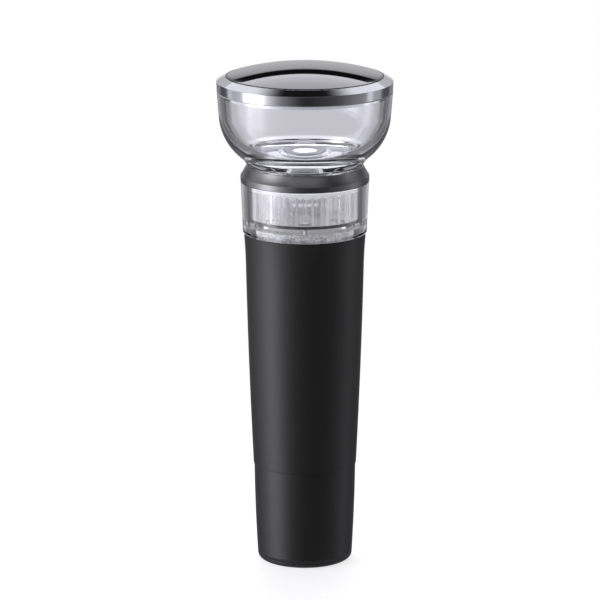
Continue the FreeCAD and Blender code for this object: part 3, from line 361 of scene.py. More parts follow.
class Finish(Nodes):
    """One material. Its constants are set on the shader's own sockets."""

    def __init__(self, name, colour, **constants):
        self.colour = colour
        self.material = bpy.data.materials.new(name)
        self.material.use_nodes = True
        super().__init__(self.material.node_tree)
        sockets = {"Base Color": (*colour, 1.0)}
        sockets.update({key.replace("_", " "): value for key, value in constants.items()})
        self.shader = self.node("ShaderNodeBsdfPrincipled", None, sockets).socket.node
        self.node("ShaderNodeOutputMaterial", None,
                  {"Surface": Wire(self, self.shader.outputs[0])})
        self.place = self.node("ShaderNodeTexCoord", output="Object")
        self.x, self.y, self.z = self.split(self.place)

    def feed(self, name, wire):
        self.tree.links.new(wire.socket, self.shader.inputs[name])

    def radius(self):
        return (self.x * self.x + self.y * self.y) ** 0.5

    def angle(self):
        return self.maths("ARCTAN2", self.y, self.x)

    def noise(self, scale, detail=2.0, rough=0.5, place=None):
        return self.node("ShaderNodeTexNoise", None, {
            "Vector": place or self.place, "Scale": scale, "Detail": detail,
            "Roughness": rough})

    def cells(self, scale, feature="F1"):
        return self.node("ShaderNodeTexVoronoi", {"feature": feature},
                         {"Vector": self.place, "Scale": scale})

    def streaks(self, detail, rough, x, y, z):
        """Noise drawn out by scaling each direction of its own."""
        return self.noise(1.0, detail, rough, self.combined(self.x * x, self.y * y, self.z * z))

    def rings(self, detail, rough, around, out, up):
        """Noise drawn out round the opener's axis, like marks of a lathe."""
        return self.noise(1.0, detail, rough, self.combined(
            self.angle() * around, self.radius() * out, self.z * up))

    def tones(self, share, *factors):
        """The base colour goes through evenly spaced shades as share goes from 0 to 1."""
        stops = [(i / (len(factors) - 1), shade(self.colour, factor))
                 for i, factor in enumerate(factors)]
        ramp = self.node("ShaderNodeValToRGB", {"stops": stops}, {"Fac": share})
        self.feed("Base Color", ramp)

    def surface(self, roughness, height, depth, strength):
        """Sets the roughness and a bump, and gives the material. Height is 0 to 1, and depth
        is in millimetres."""
        self.feed("Roughness", roughness)
        self.feed("Normal", self.node("ShaderNodeBump", None, {
            "Height": height, "Distance": depth * MM, "Strength": strength}))
        return self.material


def shade(colour, factor):
    """The colour made darker or lighter, and no brighter than white."""
    return tuple(min(1.0, part * factor) for part in colour)


# ---- finishes ----

def soft_touch_coat(colour):
    """Matt rubbery paint with a fine grain."""
    f = Finish("soft_touch_coat", colour, Specular_IOR_Level=0.9)
    grain = f.noise(2600, 2.0, 0.6)
    cloud = f.noise(120, 3.0)
    f.tones(grain * 0.7 + cloud * 0.3, 0.62, 1, 1.45)
    return f.surface(0.4 + cloud * 0.05 + grain * 0.1, grain, 0.035, 0.5)


def clear_plastic(name, colour, flow):
    """Polished clear plastic. flow is the depth of the moulding ripples, in millimetres."""
    f = Finish(name, colour, Transmission_Weight=1.0, IOR=1.49)
    ripple = f.noise(45, 2.0, 0.4)
    haze = f.noise(900, 3.0, 0.6)
    return f.surface(0.004 + f.step(haze, 0.56, 0.8) * 0.03, ripple, flow, 0.5)


def frosted_plastic(name, colour, through, glow):
    """Milky plastic that spreads the lamps' light. through is the share it lets pass, and
    glow is how much light from the lamps it gives off."""
    f = Finish(name, colour, Transmission_Weight=through, IOR=1.46, Emission_Strength=glow)
    streak = f.streaks(3.0, 0.6, 900, 900, 30)
    caught = f.step(streak, 0.36, 0.66)
    f.feed("Emission Color", f.mix(caught, (0.2, 0.19, 0.22), (0.97, 0.96, 1.0)))
    f.tones(streak, 0.9, 1)
    return f.surface(0.08 + streak * 0.2, streak, 0.03, 0.4)


def bezel_metal(colour, edge_z):
    """A polished sloping face above edge_z, in metres, and a lathe-brushed band below it."""
    f = Finish("bezel_metal", colour, Metallic=1.0)
    polished = f.step(f.z, edge_z - EDGE_BLEND * MM, edge_z + EDGE_BLEND * MM)
    lines = f.rings(4.0, 0.7, 1.4, 9000, 16000)
    smudge = f.noise(90, 3.0, 0.6)
    f.tones(lines * 0.6 + smudge * 0.4, 0.86, 1, 1.12)
    rough = 0.05 + smudge * 0.03 + (1 - polished) * (0.05 + lines * 0.06)
    return f.surface(rough, lines * (1 - polished), 0.01, 0.5)


def blasted_metal(colour, bare, mouth_r):
    """Bead-blasted dark metal, rubbed a little brighter along its edges. Inside mouth_r, in
    millimetres, it is left bare and bright."""
    f = Finish("blasted_metal", colour, Metallic=1.0)
    grain = f.noise(5200, 2.0, 0.7)
    cloud = f.noise(160, 3.0)
    worn = f.step(f.node("ShaderNodeNewGeometry", output="Pointiness"), 0.52, 0.62)
    tone = grain * 0.5 + cloud * 0.2 + worn * 0.3
    inside = 1 - f.step(f.radius(), mouth_r * MM, (mouth_r + EDGE_BLEND) * MM)
    dark = f.mix(tone, shade(colour, 0.8), shade(colour, 1.4))
    f.feed("Base Color", f.mix(inside, dark, bare))
    return f.surface(0.3 + grain * 0.1 - worn * 0.1, grain, 0.02, 0.55)


def dark_glaze(colour):
    """Near-black polished dome under a clear coat, with the faintest waviness."""
    f = Finish("dark_glaze", colour, IOR=1.5)
    wave = f.noise(38, 2.0, 0.4)
    film = f.noise(700, 4.0, 0.6)
    f.tones(wave, 0.8, 1.3)
    return f.surface(0.02 + film * 0.03, wave, 0.02, 0.25)


def silicone(colour):
    """Milky rubber that light soaks into."""
    f = Finish("milky_silicone", colour, Subsurface_Weight=0.5,
               Subsurface_Radius=(0.002, 0.002, 0.002))
    skin = f.noise(1500, 3.0)
    f.tones(skin, 0.9, 1)
    return f.surface(0.4 + skin * 0.15, skin, 0.01, 0.4)


def moulded_plastic(name, colour, gloss, texture=0.02, glow=0.0):
    """Opaque moulded plastic with a spark-eroded skin and faint flow marks. glow is how
    brightly the lamps light it."""
    f = Finish(name, colour, Emission_Strength=glow)
    skin = f.noise(3400, 2.0, 0.65)
    flow = f.streaks(3.0, 0.5, 110, 110, 28)
    f.tones(skin * 0.4 + flow * 0.6, 0.84, 1, 1.14)
    return f.surface(gloss + skin * 0.12, skin, texture, 0.5)


def deck_plastic(colour, low, high):
    """Smooth white plastic that the lamps light, most of all on top. It gets brighter from
    low to high, in millimetres."""
    f = Finish("deck_plastic", colour, Emission_Strength=1.0)
    skin = f.noise(2600, 2.0, 0.6)
    f.tones(skin, 0.9, 1)
    f.feed("Emission Color", f.mix(f.step(f.z, low * MM, high * MM), (0.3, 0.3, 0.31),
                                   (0.95, 0.94, 1.0)))
    return f.surface(0.3 + skin * 0.1, skin, 0.02, 0.4)


def hammered_plastic(colour, glow):
    """White plastic with a dimpled skin that scatters the lamps' light."""
    f = Finish("hammered_plastic", colour, Emission_Strength=glow)
    dimple = f.cells(1250, "SMOOTH_F1")
    cloud = f.noise(260, 3.0, 0.6)
    lit = f.step(dimple * 0.5 + cloud * 0.6, 0.3, 0.8)
    f.feed("Base Color", f.mix(lit, shade(colour, 0.5), shade(colour, 1.1)))
    f.feed("Emission Color", f.mix(lit, (0.2, 0.2, 0.22), (1.0, 0.99, 1.0)))
    return f.surface(0.2 + cloud * 0.2, dimple, 0.25, 0.8)


def turned_steel(name, colour, rough):
    """Machined metal with fine rings from the lathe and a few stains."""
    f = Finish(name, colour, Metallic=1.0)
    rings = f.rings(3.0, 0.7, 0.8, 7000, 7000)
    stain = f.noise(260, 4.0, 0.6)
    f.tones(rings * 0.5 + stain * 0.5, 0.74, 1, 1.16)
    return f.surface(rough + rings * 0.12 + stain * 0.06, rings, 0.008, 0.5)


def drawn_wire(colour):
    """Spring wire with drawing lines and a little oil."""
    f = Finish("drawn_wire", colour, Metallic=1.0)
    lines = f.rings(3.0, 0.6, 2, 12000, 9000)
    oil = f.noise(500, 3.0)
    f.tones(lines * 0.6 + oil * 0.4, 0.6, 1, 1.25)
    return f.surface(0.18 + oil * 0.16, lines, 0.008, 0.5)


def sintered_bronze(colour):
    """Pressed bronze with open pores."""
    f = Finish("sintered_bronze", colour, Metallic=1.0)
    pores = f.step(f.cells(3600), 0.12, 0.34)
    patch = f.noise(420, 3.0)
    f.tones(pores * 0.6 + patch * 0.4, 0.35, 0.9, 1.25)
    return f.surface(0.5 - pores * 0.2, pores, 0.03, 0.6)


def plated_brass(colour):
    """Rolled strip with a little tarnish."""
    f = Finish("plated_brass", colour, Metallic=1.0)
    tarnish = f.noise(320, 4.0, 0.6)
    rolled = f.streaks(2.0, 0.5, 5000, 200, 5000)
    f.tones(tarnish * 0.7 + rolled * 0.3, 0.55, 1, 1.2)
    return f.surface(0.2 + tarnish * 0.2, rolled, 0.01, 0.5)


def black_rubber(colour):
    """Dull rubber with a pale bloom."""
    f = Finish("black_rubber", colour, Specular_IOR_Level=0.3)
    skin = f.noise(1900, 4.0, 0.65)
    bloom = f.noise(150, 3.0)
    f.tones(skin * 0.3 + bloom * 0.7, 0.7, 1, 1.8)
    return f.surface(0.62 + bloom * 0.16, skin, 0.04, 0.5)


def ferrite(colour):
    """Pressed magnet with a crystalline break."""
    f = Finish("ferrite", colour)
    crystal = f.cells(5200)
    f.tones(crystal, 0.7, 1, 1.5)
    return f.surface(0.42 + crystal * 0.2, crystal, 0.02, 0.4)


def wound_core(colour, copper):
    """Laminated iron poles with copper windings between them."""
    f = Finish("wound_core", colour, Metallic=1.0)
    sheets = f.maths("PINGPONG", f.z / (0.5 * MM), 1.0)
    turns = f.maths("PINGPONG", f.radius() / (0.22 * MM), 1.0)
    wound = f.step(f.maths("SINE", f.angle() * 3.0 + 1.2), 0.1, 0.3)
    iron = f.mix(f.step(sheets, 0.1, 0.4), shade(colour, 0.4), colour)
    wire = f.mix(f.step(turns, 0.1, 0.5), shade(copper, 0.45), copper)
    f.feed("Base Color", f.mix(wound, iron, wire))
    height = sheets * (1 - wound) + turns * wound
    return f.surface(0.36 - wound * 0.1 + sheets * 0.05, height, 0.04, 0.6)


def cell_jacket(colour, cap_colour, low, high, cap):
    """Shrink sleeve with a plain band of height cap at the positive end. The cells stand in
    turn up and down, so the band is at the top where x and y have the same sign. Heights are
    in metres."""
    f = Finish("cell_jacket", colour, Coat_Weight=0.6, Coat_Roughness=0.12)
    upright = f.step(f.x * f.y * 1e6, -0.5, 0.5)
    near_top = f.step(f.z, high - cap - EDGE_BLEND * MM, high - cap)
    near_bottom = 1 - f.step(f.z, low + cap, low + cap + EDGE_BLEND * MM)
    band = near_top * upright + near_bottom * (1 - upright)
    wrinkle = f.streaks(3.0, 0.5, 700, 700, 90)
    plain = f.mix(wrinkle, shade(colour, 0.8), shade(colour, 1.25))
    f.feed("Base Color", f.mix(band, plain, cap_colour))
    f.feed("Metallic", band * 0.8)
    return f.surface(0.22 + wrinkle * 0.14, wrinkle, 0.03, 0.4)


def circuit_board(name, mask, copper, pitch):
    """Solder mask over tracks, with tinned pads along them."""
    f = Finish(name, mask, Coat_Weight=0.35, Coat_Roughness=0.15)
    weave = f.noise(1800, 2.0)
    across = f.maths("PINGPONG", f.x / (pitch * MM) + f.z / (pitch * 2 * MM), 0.5)
    along = f.maths("PINGPONG", f.y / (pitch * MM) + f.z / (pitch * MM), 0.5)
    track = f.step(0.5 - f.maths("MINIMUM", across, along), 0.36, 0.42)
    pad = f.step(f.maths("MULTIPLY", 0.5 - across, 0.5 - along), 0.2, 0.22)
    skin = f.mix(track, shade(mask, 0.9), shade(mask, 1.12))
    f.feed("Base Color", f.mix(pad, skin, copper))
    f.feed("Metallic", pad)
    return f.surface(0.34 + weave * 0.1, track * 0.6 + pad * 0.4 + weave * 0.1, 0.03, 0.7)


def lamp_board_mask(colour, gap_shadow_colour, gap_shadow_r):
    """White solder mask with a painted shadow: a dark ring beyond the given radius, in
    millimetres, stands in for the shadow gap where the window's wall meets the board.
    """
    f = Finish("lamp_board_mask", colour, Coat_Weight=0.3, Coat_Roughness=0.2)
    skin = f.noise(2200, 2.0)
    # painted shadow: the dark ring beyond the given radius stands for the shadow gap at the
    # window's wall, and is made rougher
    rim = f.step(f.radius(), (gap_shadow_r - EDGE_BLEND) * MM, gap_shadow_r * MM)
    face = f.mix(skin, shade(colour, 0.93), colour)
    f.feed("Base Color", f.mix(rim, face, gap_shadow_colour))
    return f.surface(0.28 + skin * 0.12 + rim * 0.3, skin, 0.015, 0.5)


def lamp_chip(colour):
    """The pale face of a small white lamp."""
    f = Finish("lamp_chip", colour, Emission_Strength=0.4)
    grain = f.cells(9000)
    f.tones(grain, 0.8, 1)
    f.feed("Emission Color", f.mix(grain, shade(colour, 0.9), (1.0, 0.98, 0.9)))
    return f.surface(0.35 + grain * 0.2, grain, 0.02, 0.5)


def pale_floor(colour, glow, near, far):
    """A plain pale table that fades out between the radii near and far, in metres. It lights
    the opener less than the eye would think, and isn't mirrored in it or seen from below."""
    f = Finish("pale_floor", colour, Roughness=0.75, Specular_IOR_Level=0.1,
               Emission_Color=(1.0, 1.0, 1.0, 1.0), Emission_Strength=glow)
    eye = f.node("ShaderNodeLightPath", output="Is Camera Ray")
    tone = f.mix(f.noise(260, 3.0), shade(colour, 0.985), colour)
    f.feed("Base Color", f.mix(eye, shade(colour, 0.5), tone))
    f.feed("Emission Color", f.mix(eye, (0.12, 0.12, 0.13), (1.0, 1.0, 1.0)))
    below = f.node("ShaderNodeNewGeometry", output="Backfacing")
    mirrored = f.node("ShaderNodeLightPath", output="Is Glossy Ray")
    f.feed("Alpha", (1 - f.step(f.radius(), near, far)) * (1 - below) * (1 - mirrored))
    return f.material


# ---- sizes and colours a user would change ----

def number(name, description, default, low, high, **more):
    return bpy.props.FloatProperty(name=name, description=description, default=default,
                                   min=low, max=high, **more)


def length(*each):
    """A number in metres, shown in the scene's unit."""
    return number(*each, subtype="DISTANCE", unit="LENGTH", precision=5)


def tint(name, description, default):
    return bpy.props.FloatVectorProperty(name=name, description=description, default=default,
                                         min=0.0, max=1.0, size=3, subtype="COLOR")


class OpenerSizes(bpy.types.PropertyGroup):
    """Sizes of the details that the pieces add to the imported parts."""

    cap_edge: length("Cap edge", "Softness of the foil cutter cap's upper edge",
                     0.00012, 0.0, 0.001)
    sleeve_edge: length("Sleeve edge", "Softness of the sleeve's lower edge",
                        0.00025, 0.0, 0.002)
    flow_depth: length("Moulding ripple", "Depth of the ripples in the clear plastic",
                       0.00001, 0.0, 0.0001)
    cell_band: length("Cell band", "Height of the plain band at each cell's positive end",
                      0.009, 0.0, 0.02)


class OpenerColours(bpy.types.PropertyGroup):
    """Colours of the finishes."""

    soft_black: tint("Sleeve", "Soft-touch coat of sleeve and cap", (0.006, 0.0058, 0.0057))
    clear: tint("Clear plastic", "Tint of the clear plastic", (0.965, 0.965, 0.985))
    frosted: tint("Diffuser", "Frosted plastic behind the window", (0.95, 0.95, 0.96))
    bezel: tint("Bezel", "Metal of the rim round the dome", (0.72, 0.73, 0.76))
    collar: tint("Collar", "Dark blasted metal of the collar", (0.3, 0.3, 0.305))
    dome: tint("Dome", "Dark polished dome", (0.004, 0.004, 0.006))
    seal: tint("Seal", "Thin line under the bezel", (0.88, 0.88, 0.9))
    white: tint("White plastic", "Deck and switch inside the window", (0.85, 0.85, 0.86))
    black: tint("Black plastic", "Cradle, jaws and hub", (0.022, 0.022, 0.023))
    steel: tint("Steel", "Machined steel parts", (0.56, 0.57, 0.58))
    worm: tint("Worm", "Polished worm", (0.7, 0.7, 0.72))
    spring: tint("Spring wire", "Springs and retaining rings", (0.5, 0.5, 0.52))
    bronze: tint("Bronze", "Bush and pinion", (0.5, 0.32, 0.17))
    brass: tint("Brass", "Contact strips", (0.8, 0.58, 0.26))
    gear: tint("Gear plastic", "Natural plastic of the gears", (0.8, 0.78, 0.71))
    rubber: tint("Rubber", "Cushion and O-ring", (0.012, 0.012, 0.012))
    jacket: tint("Cell sleeve", "Shrink sleeve of the cells", (0.02, 0.035, 0.07))
    board: tint("Driver board", "Solder mask of the driver board", (0.01, 0.09, 0.035))
    copper: tint("Copper", "Windings, pads and cell bands", (0.76, 0.38, 0.2))
    ferrite: tint("Magnets", "Ferrite of the magnets", (0.05, 0.05, 0.052))
    iron: tint("Core", "Laminated iron of the armature", (0.32, 0.32, 0.33))
    chip: tint("Lamp chip", "Pale face of the lamps", (0.9, 0.88, 0.8))


class OpenerStage(bpy.types.PropertyGroup):
    """Floor, light and camera."""

    floor: tint("Floor", "Colour of the floor", (0.86, 0.86, 0.87))
    floor_glow: number("Floor glow", "How much the floor is lit from below", 0.72, 0.0, 2.0)
    floor_reach: length("Floor reach", "Radius at which the floor has gone", 0.34, 0.1, 2.0)
    fill: number("Fill", "Brightness seen through the clear plastic", 0.6, 0.0, 2.0)
    top_light: number("Top light", "Brightness of the high softbox behind", 2.3, 0.0, 10.0)
    camera_height: number("Camera height", "Angle from which the camera looks down",
                          math.radians(13.7), -math.pi / 2, math.pi / 2, subtype="ANGLE",
                          unit="ROTATION")
    camera_distance: length("Camera distance", "From the camera to the aim", 1.634, 0.3, 5.0)
    aim_height: length("Aim height", "Height that the camera looks at", 0.1148, 0.0, 0.3)
    lens: number("Lens", "Focal length in millimetres on a 36 mm frame", 228.0, 20.0, 400.0)


# ---- pieces ----

class PieceOperator:
    """What the operators share."""

    bl_options = {"REGISTER", "UNDO"}

    def execute(self, context):
        self.make(context.scene.opener_sizes, context.scene.opener_colours)
        return {"FINISHED"}


class OPENER_OT_cap(PieceOperator, bpy.types.Operator):
    """Make the foil cutter's cap: its side and its mouth ring"""

    bl_idname = "opener.cap"
    bl_label = "Foil cutter cap"

    def make(self, sizes, colours):
        coat = soft_touch_coat(colours.soft_black)
        bottom = (20.45, 2.4)
        top = (21.9, 42.9 - sizes.cap_edge / MM)
        side = [*bow(bottom, top, 0.24), (21.9, 42.9, sizes.cap_edge / MM), (18.95, 42.9, 0.3),
                (18.95, 14.4), (7.0, 14.4), (7.0, 12.6), (19.5, 12.6), (19.5, 2.4)]
        lathe("cap_side", side, "foil_cutter", "soft_black", coat, "cutter_shell")
        edge = reversed(arc((18.05, 2.4), 2.4, -2.4, math.pi / 2, ARC_STEPS))
        mouth = [(16.2, 0.0, 0.5), *edge, (19.45, 2.4), (19.45, 5.0), (16.2, 5.0, 0.4)]
        lathe("cap_mouth", mouth, "foil_cutter", "soft_black", coat, "cutter_mouth_ring")


class OPENER_OT_cutter(PieceOperator, bpy.types.Operator):
    """Finish the jaws, their leaf springs and the cutting wheels"""

    bl_idname = "opener.cutter"
    bl_label = "Foil cutter jaws"

    def make(self, sizes, colours):
        dress(moulded_plastic("jaw_plastic", colours.black, 0.38), "jaw_right", "jaw_left")
        self.springs(drawn_wire(colours.spring))
        dress(turned_steel("ground_steel", colours.steel, 0.16), "wheel_right_front",
              "wheel_right_rear", "wheel_left_front", "wheel_left_rear")

    def springs(self, wire):
        """Behind each jaw a bowed leaf in two halves: its ends lie along the wall and its middle
        stands in from it by the jaw's travel. The leaf stays as made and does not follow the
        jaw."""
        low, high = (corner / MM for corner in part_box("jaw_springs"))
        rest_r = math.hypot(high.x, high.y) - LEAF_GAP
        travel = reach_of("right_jaw_open") / MM
        for side, jaw in ((1, "right"), (-1, "left")):
            for end, place in ((-1, "front"), (1, "rear")):
                mesh = bmesh.new()
                rings = []
                for i in range(ARC_STEPS + 1):
                    t = i / ARC_STEPS
                    y = end * high.y * (1 - t)
                    x = math.sqrt(rest_r ** 2 - y ** 2) - travel * t * t * (3 - 2 * t)
                    corners = ((x - LEAF, low.z), (x, low.z), (x, high.z), (x - LEAF, high.z))
                    rings.append([mesh.verts.new(Vector((side * cx, y, cz)) * MM)
                                  for cx, cz in corners])
                add_swept(mesh, rings)
                leaf = fit(piece_from(f"jaw_leaf_{jaw}_{place}", mesh), None, "spring_steel",
                           wire, "jaw_springs")
                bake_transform(leaf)


class OPENER_OT_sleeve(PieceOperator, bpy.types.Operator):
    """Make the long soft-touch sleeve"""

    bl_idname = "opener.sleeve"
    bl_label = "Sleeve"

    def make(self, sizes, colours):
        edge = sizes.sleeve_edge / MM
        start = (22.25, 43.0 + edge)
        waist = (25.3, 130.15)
        crown = (26.1, 144.85)
        outline = [
            (22.25, 43.0, edge), *bow(start, waist, 0.28, 48), *bow(waist, crown, -0.125)[1:],
            (26.1, 145.15, 0.25), (23.85, 145.15, 0.2), (23.85, 139.4), (24.45, 139.4),
            (24.45, 138.35), (23.85, 138.35), (20.0, 45.0), (18.95, 45.0), (18.95, 43.0, 0.3)
        ]
        lathe("sleeve", outline, "housing", "soft_black", soft_touch_coat(colours.soft_black),
              "outer_sleeve")
        dress(drawn_wire(colours.spring), "clip_ring")


class OPENER_OT_nose(PieceOperator, bpy.types.Operator):
    """Make the clear nose with the cork's room, and its lip cushion"""

    bl_idname = "opener.nose"
    bl_label = "Bottle nose"

    def make(self, sizes, colours):
        clear = clear_plastic("nose_clear", colours.clear, sizes.flow_depth / MM)
        outline = [
            (16.4, 15.5, 0.5), (18.8, 15.5, 0.6), (18.8, 45.0), (19.95, 45.0), (19.95, 48.0),
            (16.5, 48.0), (16.5, 76.5), (20.0, 76.5), (20.0, 81.5), (13.5, 81.5), (13.5, 39.0),
            (16.0, 39.0), (16.0, 18.7, 0.5), (16.4, 18.7, 0.5)
        ]
        lathe("nose", outline, "housing", "clear_plastic", clear, "cork_tube")
        cushion = [(13.8, 37.0, 0.5), (15.95, 37.0, 0.4), (15.95, 39.0), (13.8, 39.0)]
        lathe("lip_stop", cushion, "housing", "black_rubber", black_rubber(colours.rubber),
              "lip_cushion")


class OPENER_OT_drive(PieceOperator, bpy.types.Operator):
    """Finish the worm, its hub, the gearbox and the motor"""

    bl_idname = "opener.drive"
    bl_label = "Worm, gearbox and motor"

    def make(self, sizes, colours):
        dress(turned_steel("worm_polish", colours.worm, 0.1), "worm")
        dress(moulded_plastic("hub_plastic", colours.black, 0.34), "worm_hub")
        dress(moulded_plastic("gear_plastic", colours.gear, 0.36, 0.012), "gear_housing",
              "planet_1_a", "planet_1_b", "planet_1_c", "planet_2_a", "planet_2_b",
              "planet_2_c")
        dress(turned_steel("turned_steel", colours.steel, 0.2), "carrier_1", "carrier_2",
              "motor_shaft", "motor_plate", "works_screws", "motor_screws", "top_screws")
        dress(turned_steel("motor_can_steel", shade(colours.steel, 0.9), 0.28), "motor_can")
        dress(sintered_bronze(colours.bronze), "output_bush", "sun_pinion")
        dress(moulded_plastic("motor_end_plastic", colours.black, 0.4), "motor_end_cap")
        dress(ferrite(colours.ferrite), "motor_magnets")
        dress(wound_core(colours.iron, colours.copper), "armature")


class OPENER_OT_cells(PieceOperator, bpy.types.Operator):
    """Make the four cells, and finish the cradle, contacts and driver board"""

    bl_idname = "opener.cells"
    bl_label = "Cells and cradle"

    def make(self, sizes, colours):
        near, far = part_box("battery_cells")
        low, high = near.z / MM, far.z / MM
        r = CELL_R
        x, y = far.x / MM - r, far.y / MM - r
        upright = [
            (0.0, low), (2.9, low), (3.3, low + 0.25, 0), (4.4, low + 0.25, 0),
            (r - 0.1, low, 0.2), (r - 0.05, low + 0.8), (r, low + 1.1), (r, high - 2.3),
            (r - 0.35, high - 1.9, 0.3), (r, high - 1.5, 0.3), (r - 0.3, high - 1.0, 0.4),
            (4.0, high - 1.05), (2.2, high - 0.9), (1.9, high - 0.6), (1.9, high, 0.25),
            (0.0, high)
        ]
        mesh = bmesh.new()
        for side, end in FOUR:
            corners = upright
            if side * end < 0:
                corners = [(c[0], low + high - c[1], *c[2:]) for c in reversed(upright)]
            add_turned(mesh, softened(corners), side * x, end * y, SMALL_STEPS)
        jacket = cell_jacket(colours.jacket, colours.copper, low * MM, high * MM,
                             sizes.cell_band)
        fit(piece_from("cells", mesh), "housing", "cell_jacket", jacket, "battery_cells")
        dress(moulded_plastic("cradle_plastic", shade(colours.black, 1.6), 0.42),
              "chassis_front", "chassis_rear")
        dress(plated_brass(colours.brass), "lower_contacts")
        dress(circuit_board("driver_board", colours.board, colours.copper, 1.3),
              "control_board")


class OPENER_OT_window(PieceOperator, bpy.types.Operator):
    """Make the clear window ring with its spigot, the O-ring and the contact coils"""

    bl_idname = "opener.window"
    bl_label = "Window"

    def make(self, sizes, colours):
        clear = clear_plastic("window_clear", colours.clear, sizes.flow_depth / MM)
        outline = [
            (20.6, 139.55), (23.7, 139.55), (23.7, 141.55), (22.13, 141.55), (22.13, 143.35),
            (23.7, 143.35), (23.7, 145.35), (26.55, 145.35, 0.3), (27.4, 167.35),
            (22.8, 167.35), (22.8, 151.15), (16.0, 151.15), (16.0, 148.45), (20.6, 148.45)
        ]
        lathe("window", outline, "top_unit", "clear_plastic", clear, "window_cup")
        mesh = bmesh.new()
        circle = arc((22.95, 142.45), 0.8, 0.8, 2 * math.pi, 28)[:-1]
        add_turned(mesh, [spot[:2] for spot in circle])
        fit(piece_from("o_ring", mesh), "top_unit", "black_rubber",
            black_rubber(colours.rubber), "top_o_ring")
        low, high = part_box("contact_springs")
        x = high.x / MM - CONTACT_R - CONTACT_WIRE_R
        y = high.y / MM - CONTACT_R - CONTACT_WIRE_R
        mesh = bmesh.new()
        for side, end in FOUR:
            add_coil(mesh, CONTACT_R, CONTACT_WIRE_R, 2.5, low.z / MM, high.z / MM,
                     side * x, end * y)
        fit(piece_from("contact_coils", mesh), "top_unit", "spring_steel",
            drawn_wire(colours.spring), "contact_springs")
        dress(moulded_plastic("plate_plastic", colours.white, 0.34, glow=0.12),
              "contact_plate")
        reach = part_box("contact_plate")[1].x / MM
        skirt = [(reach - 0.1, 140.2), (reach + SKIN, 140.2), (reach + SKIN, 148.3),
                 (reach - 0.1, 148.3)]
        lathe("plate_skirt", skirt, "top_unit", "white_plastic",
              hammered_plastic(colours.white, 0.2))


class OPENER_OT_lamps(PieceOperator, bpy.types.Operator):
    """Make the lamp board, its lamps and the fluted diffuser"""

    bl_idname = "opener.lamps"
    bl_label = "Lamps and diffuser"

    def make(self, sizes, colours):
        # the black ring beyond 22.3 mm is a painted shadow where the window's wall meets the
        # board
        mask = lamp_board_mask(shade(colours.white, 1.08), colours.black, 22.3)
        disc = [(0.0, 151.15), (22.75, 151.15), (22.75, 152.35), (0.0, 152.35)]
        lathe("lamp_disc", disc, "top_unit", "board_white", mask, "lamp_board")
        lens = softened([
            (0.0, 152.35), (LENS_R, 152.35), (LENS_R, 153.0, 0.1), (2.9, 153.1, 0.1),
            *arc((0.0, 154.35), 2.9, 3.0, math.pi / 2, 16)[:-1], (0.0, 157.35)
        ])
        circle = -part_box("lamp_lenses")[0].y / MM - LENS_R
        lenses = bmesh.new()
        chips = bmesh.new()
        for i in range(LAMPS):
            angle = math.radians(360 / LAMPS * i - 90)
            x = circle * math.cos(angle)
            y = circle * math.sin(angle)
            add_turned(lenses, lens, x, y, SMALL_STEPS)
            add_block(chips, (x - CHIP, y - CHIP, 152.9), (x + CHIP, y + CHIP, 153.5), 0.1)
        fit(piece_from("lamp_lens", lenses), "top_unit", "clear_plastic",
            clear_plastic("lamp_clear", colours.clear, 0.0), "lamp_lenses")
        fit(piece_from("lamp_chips", chips), "top_unit", "board_white",
            lamp_chip(colours.chip))
        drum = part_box("fluted_diffuser")[1].x / MM - FLUTE_R
        flutes = [(drum - 1.0, 152.4), (drum, 152.4, 0.1), (drum, 164.9, 0.1),
                  (drum - 1.0, 164.9)]
        pitch = 2 * math.pi / FLUTES

        def rib(angle):
            """How far a flute stands out of the drum at an angle round it."""
            across = drum * ((angle + pitch / 2) % pitch - pitch / 2)
            return math.sqrt(max(0.0, FLUTE_R ** 2 - across ** 2))

        lathe("diffuser", flutes, "top_unit", "frosted_plastic",
              frosted_plastic("frosted_flutes", colours.frosted, 0.92, 0.1), "fluted_diffuser",
              steps=FLUTES * FLUTE_STEPS, wave=rib)


class OPENER_OT_collar(PieceOperator, bpy.types.Operator):
    """Make the metal collar and the white deck with the stem's guide"""

    bl_idname = "opener.collar"
    bl_label = "Collar"

    def make(self, sizes, colours):
        band = (27.5, 169.85)
        rim = (25.1, 174.15)
        outline = [(20.5, 166.45), (22.75, 166.45), (22.75, 167.35), (27.5, 167.35, 0.3),
                   (*band, 0.15), *bow(band, rim, -0.18)[1:-1], (*rim, 0.15),
                   (24.6, 174.15, 0.15), (24.6, 167.95), (20.5, 167.95)]
        lathe("collar", outline, "top_unit", "collar_metal",
              blasted_metal(colours.collar, shade(colours.bezel, 1.2), 24.7), "collar_ring")
        deck = [(9.05, 161.85, 0.2), (10.8, 161.85, 0.3), (10.8, 164.95, 0.3), (22.75, 164.95),
                (22.75, 166.45), (9.05, 166.45, 0.3)]
        lathe("deck", deck, "top_unit", "white_plastic",
              deck_plastic(colours.white, 166.3, 166.42), "stem_guide")


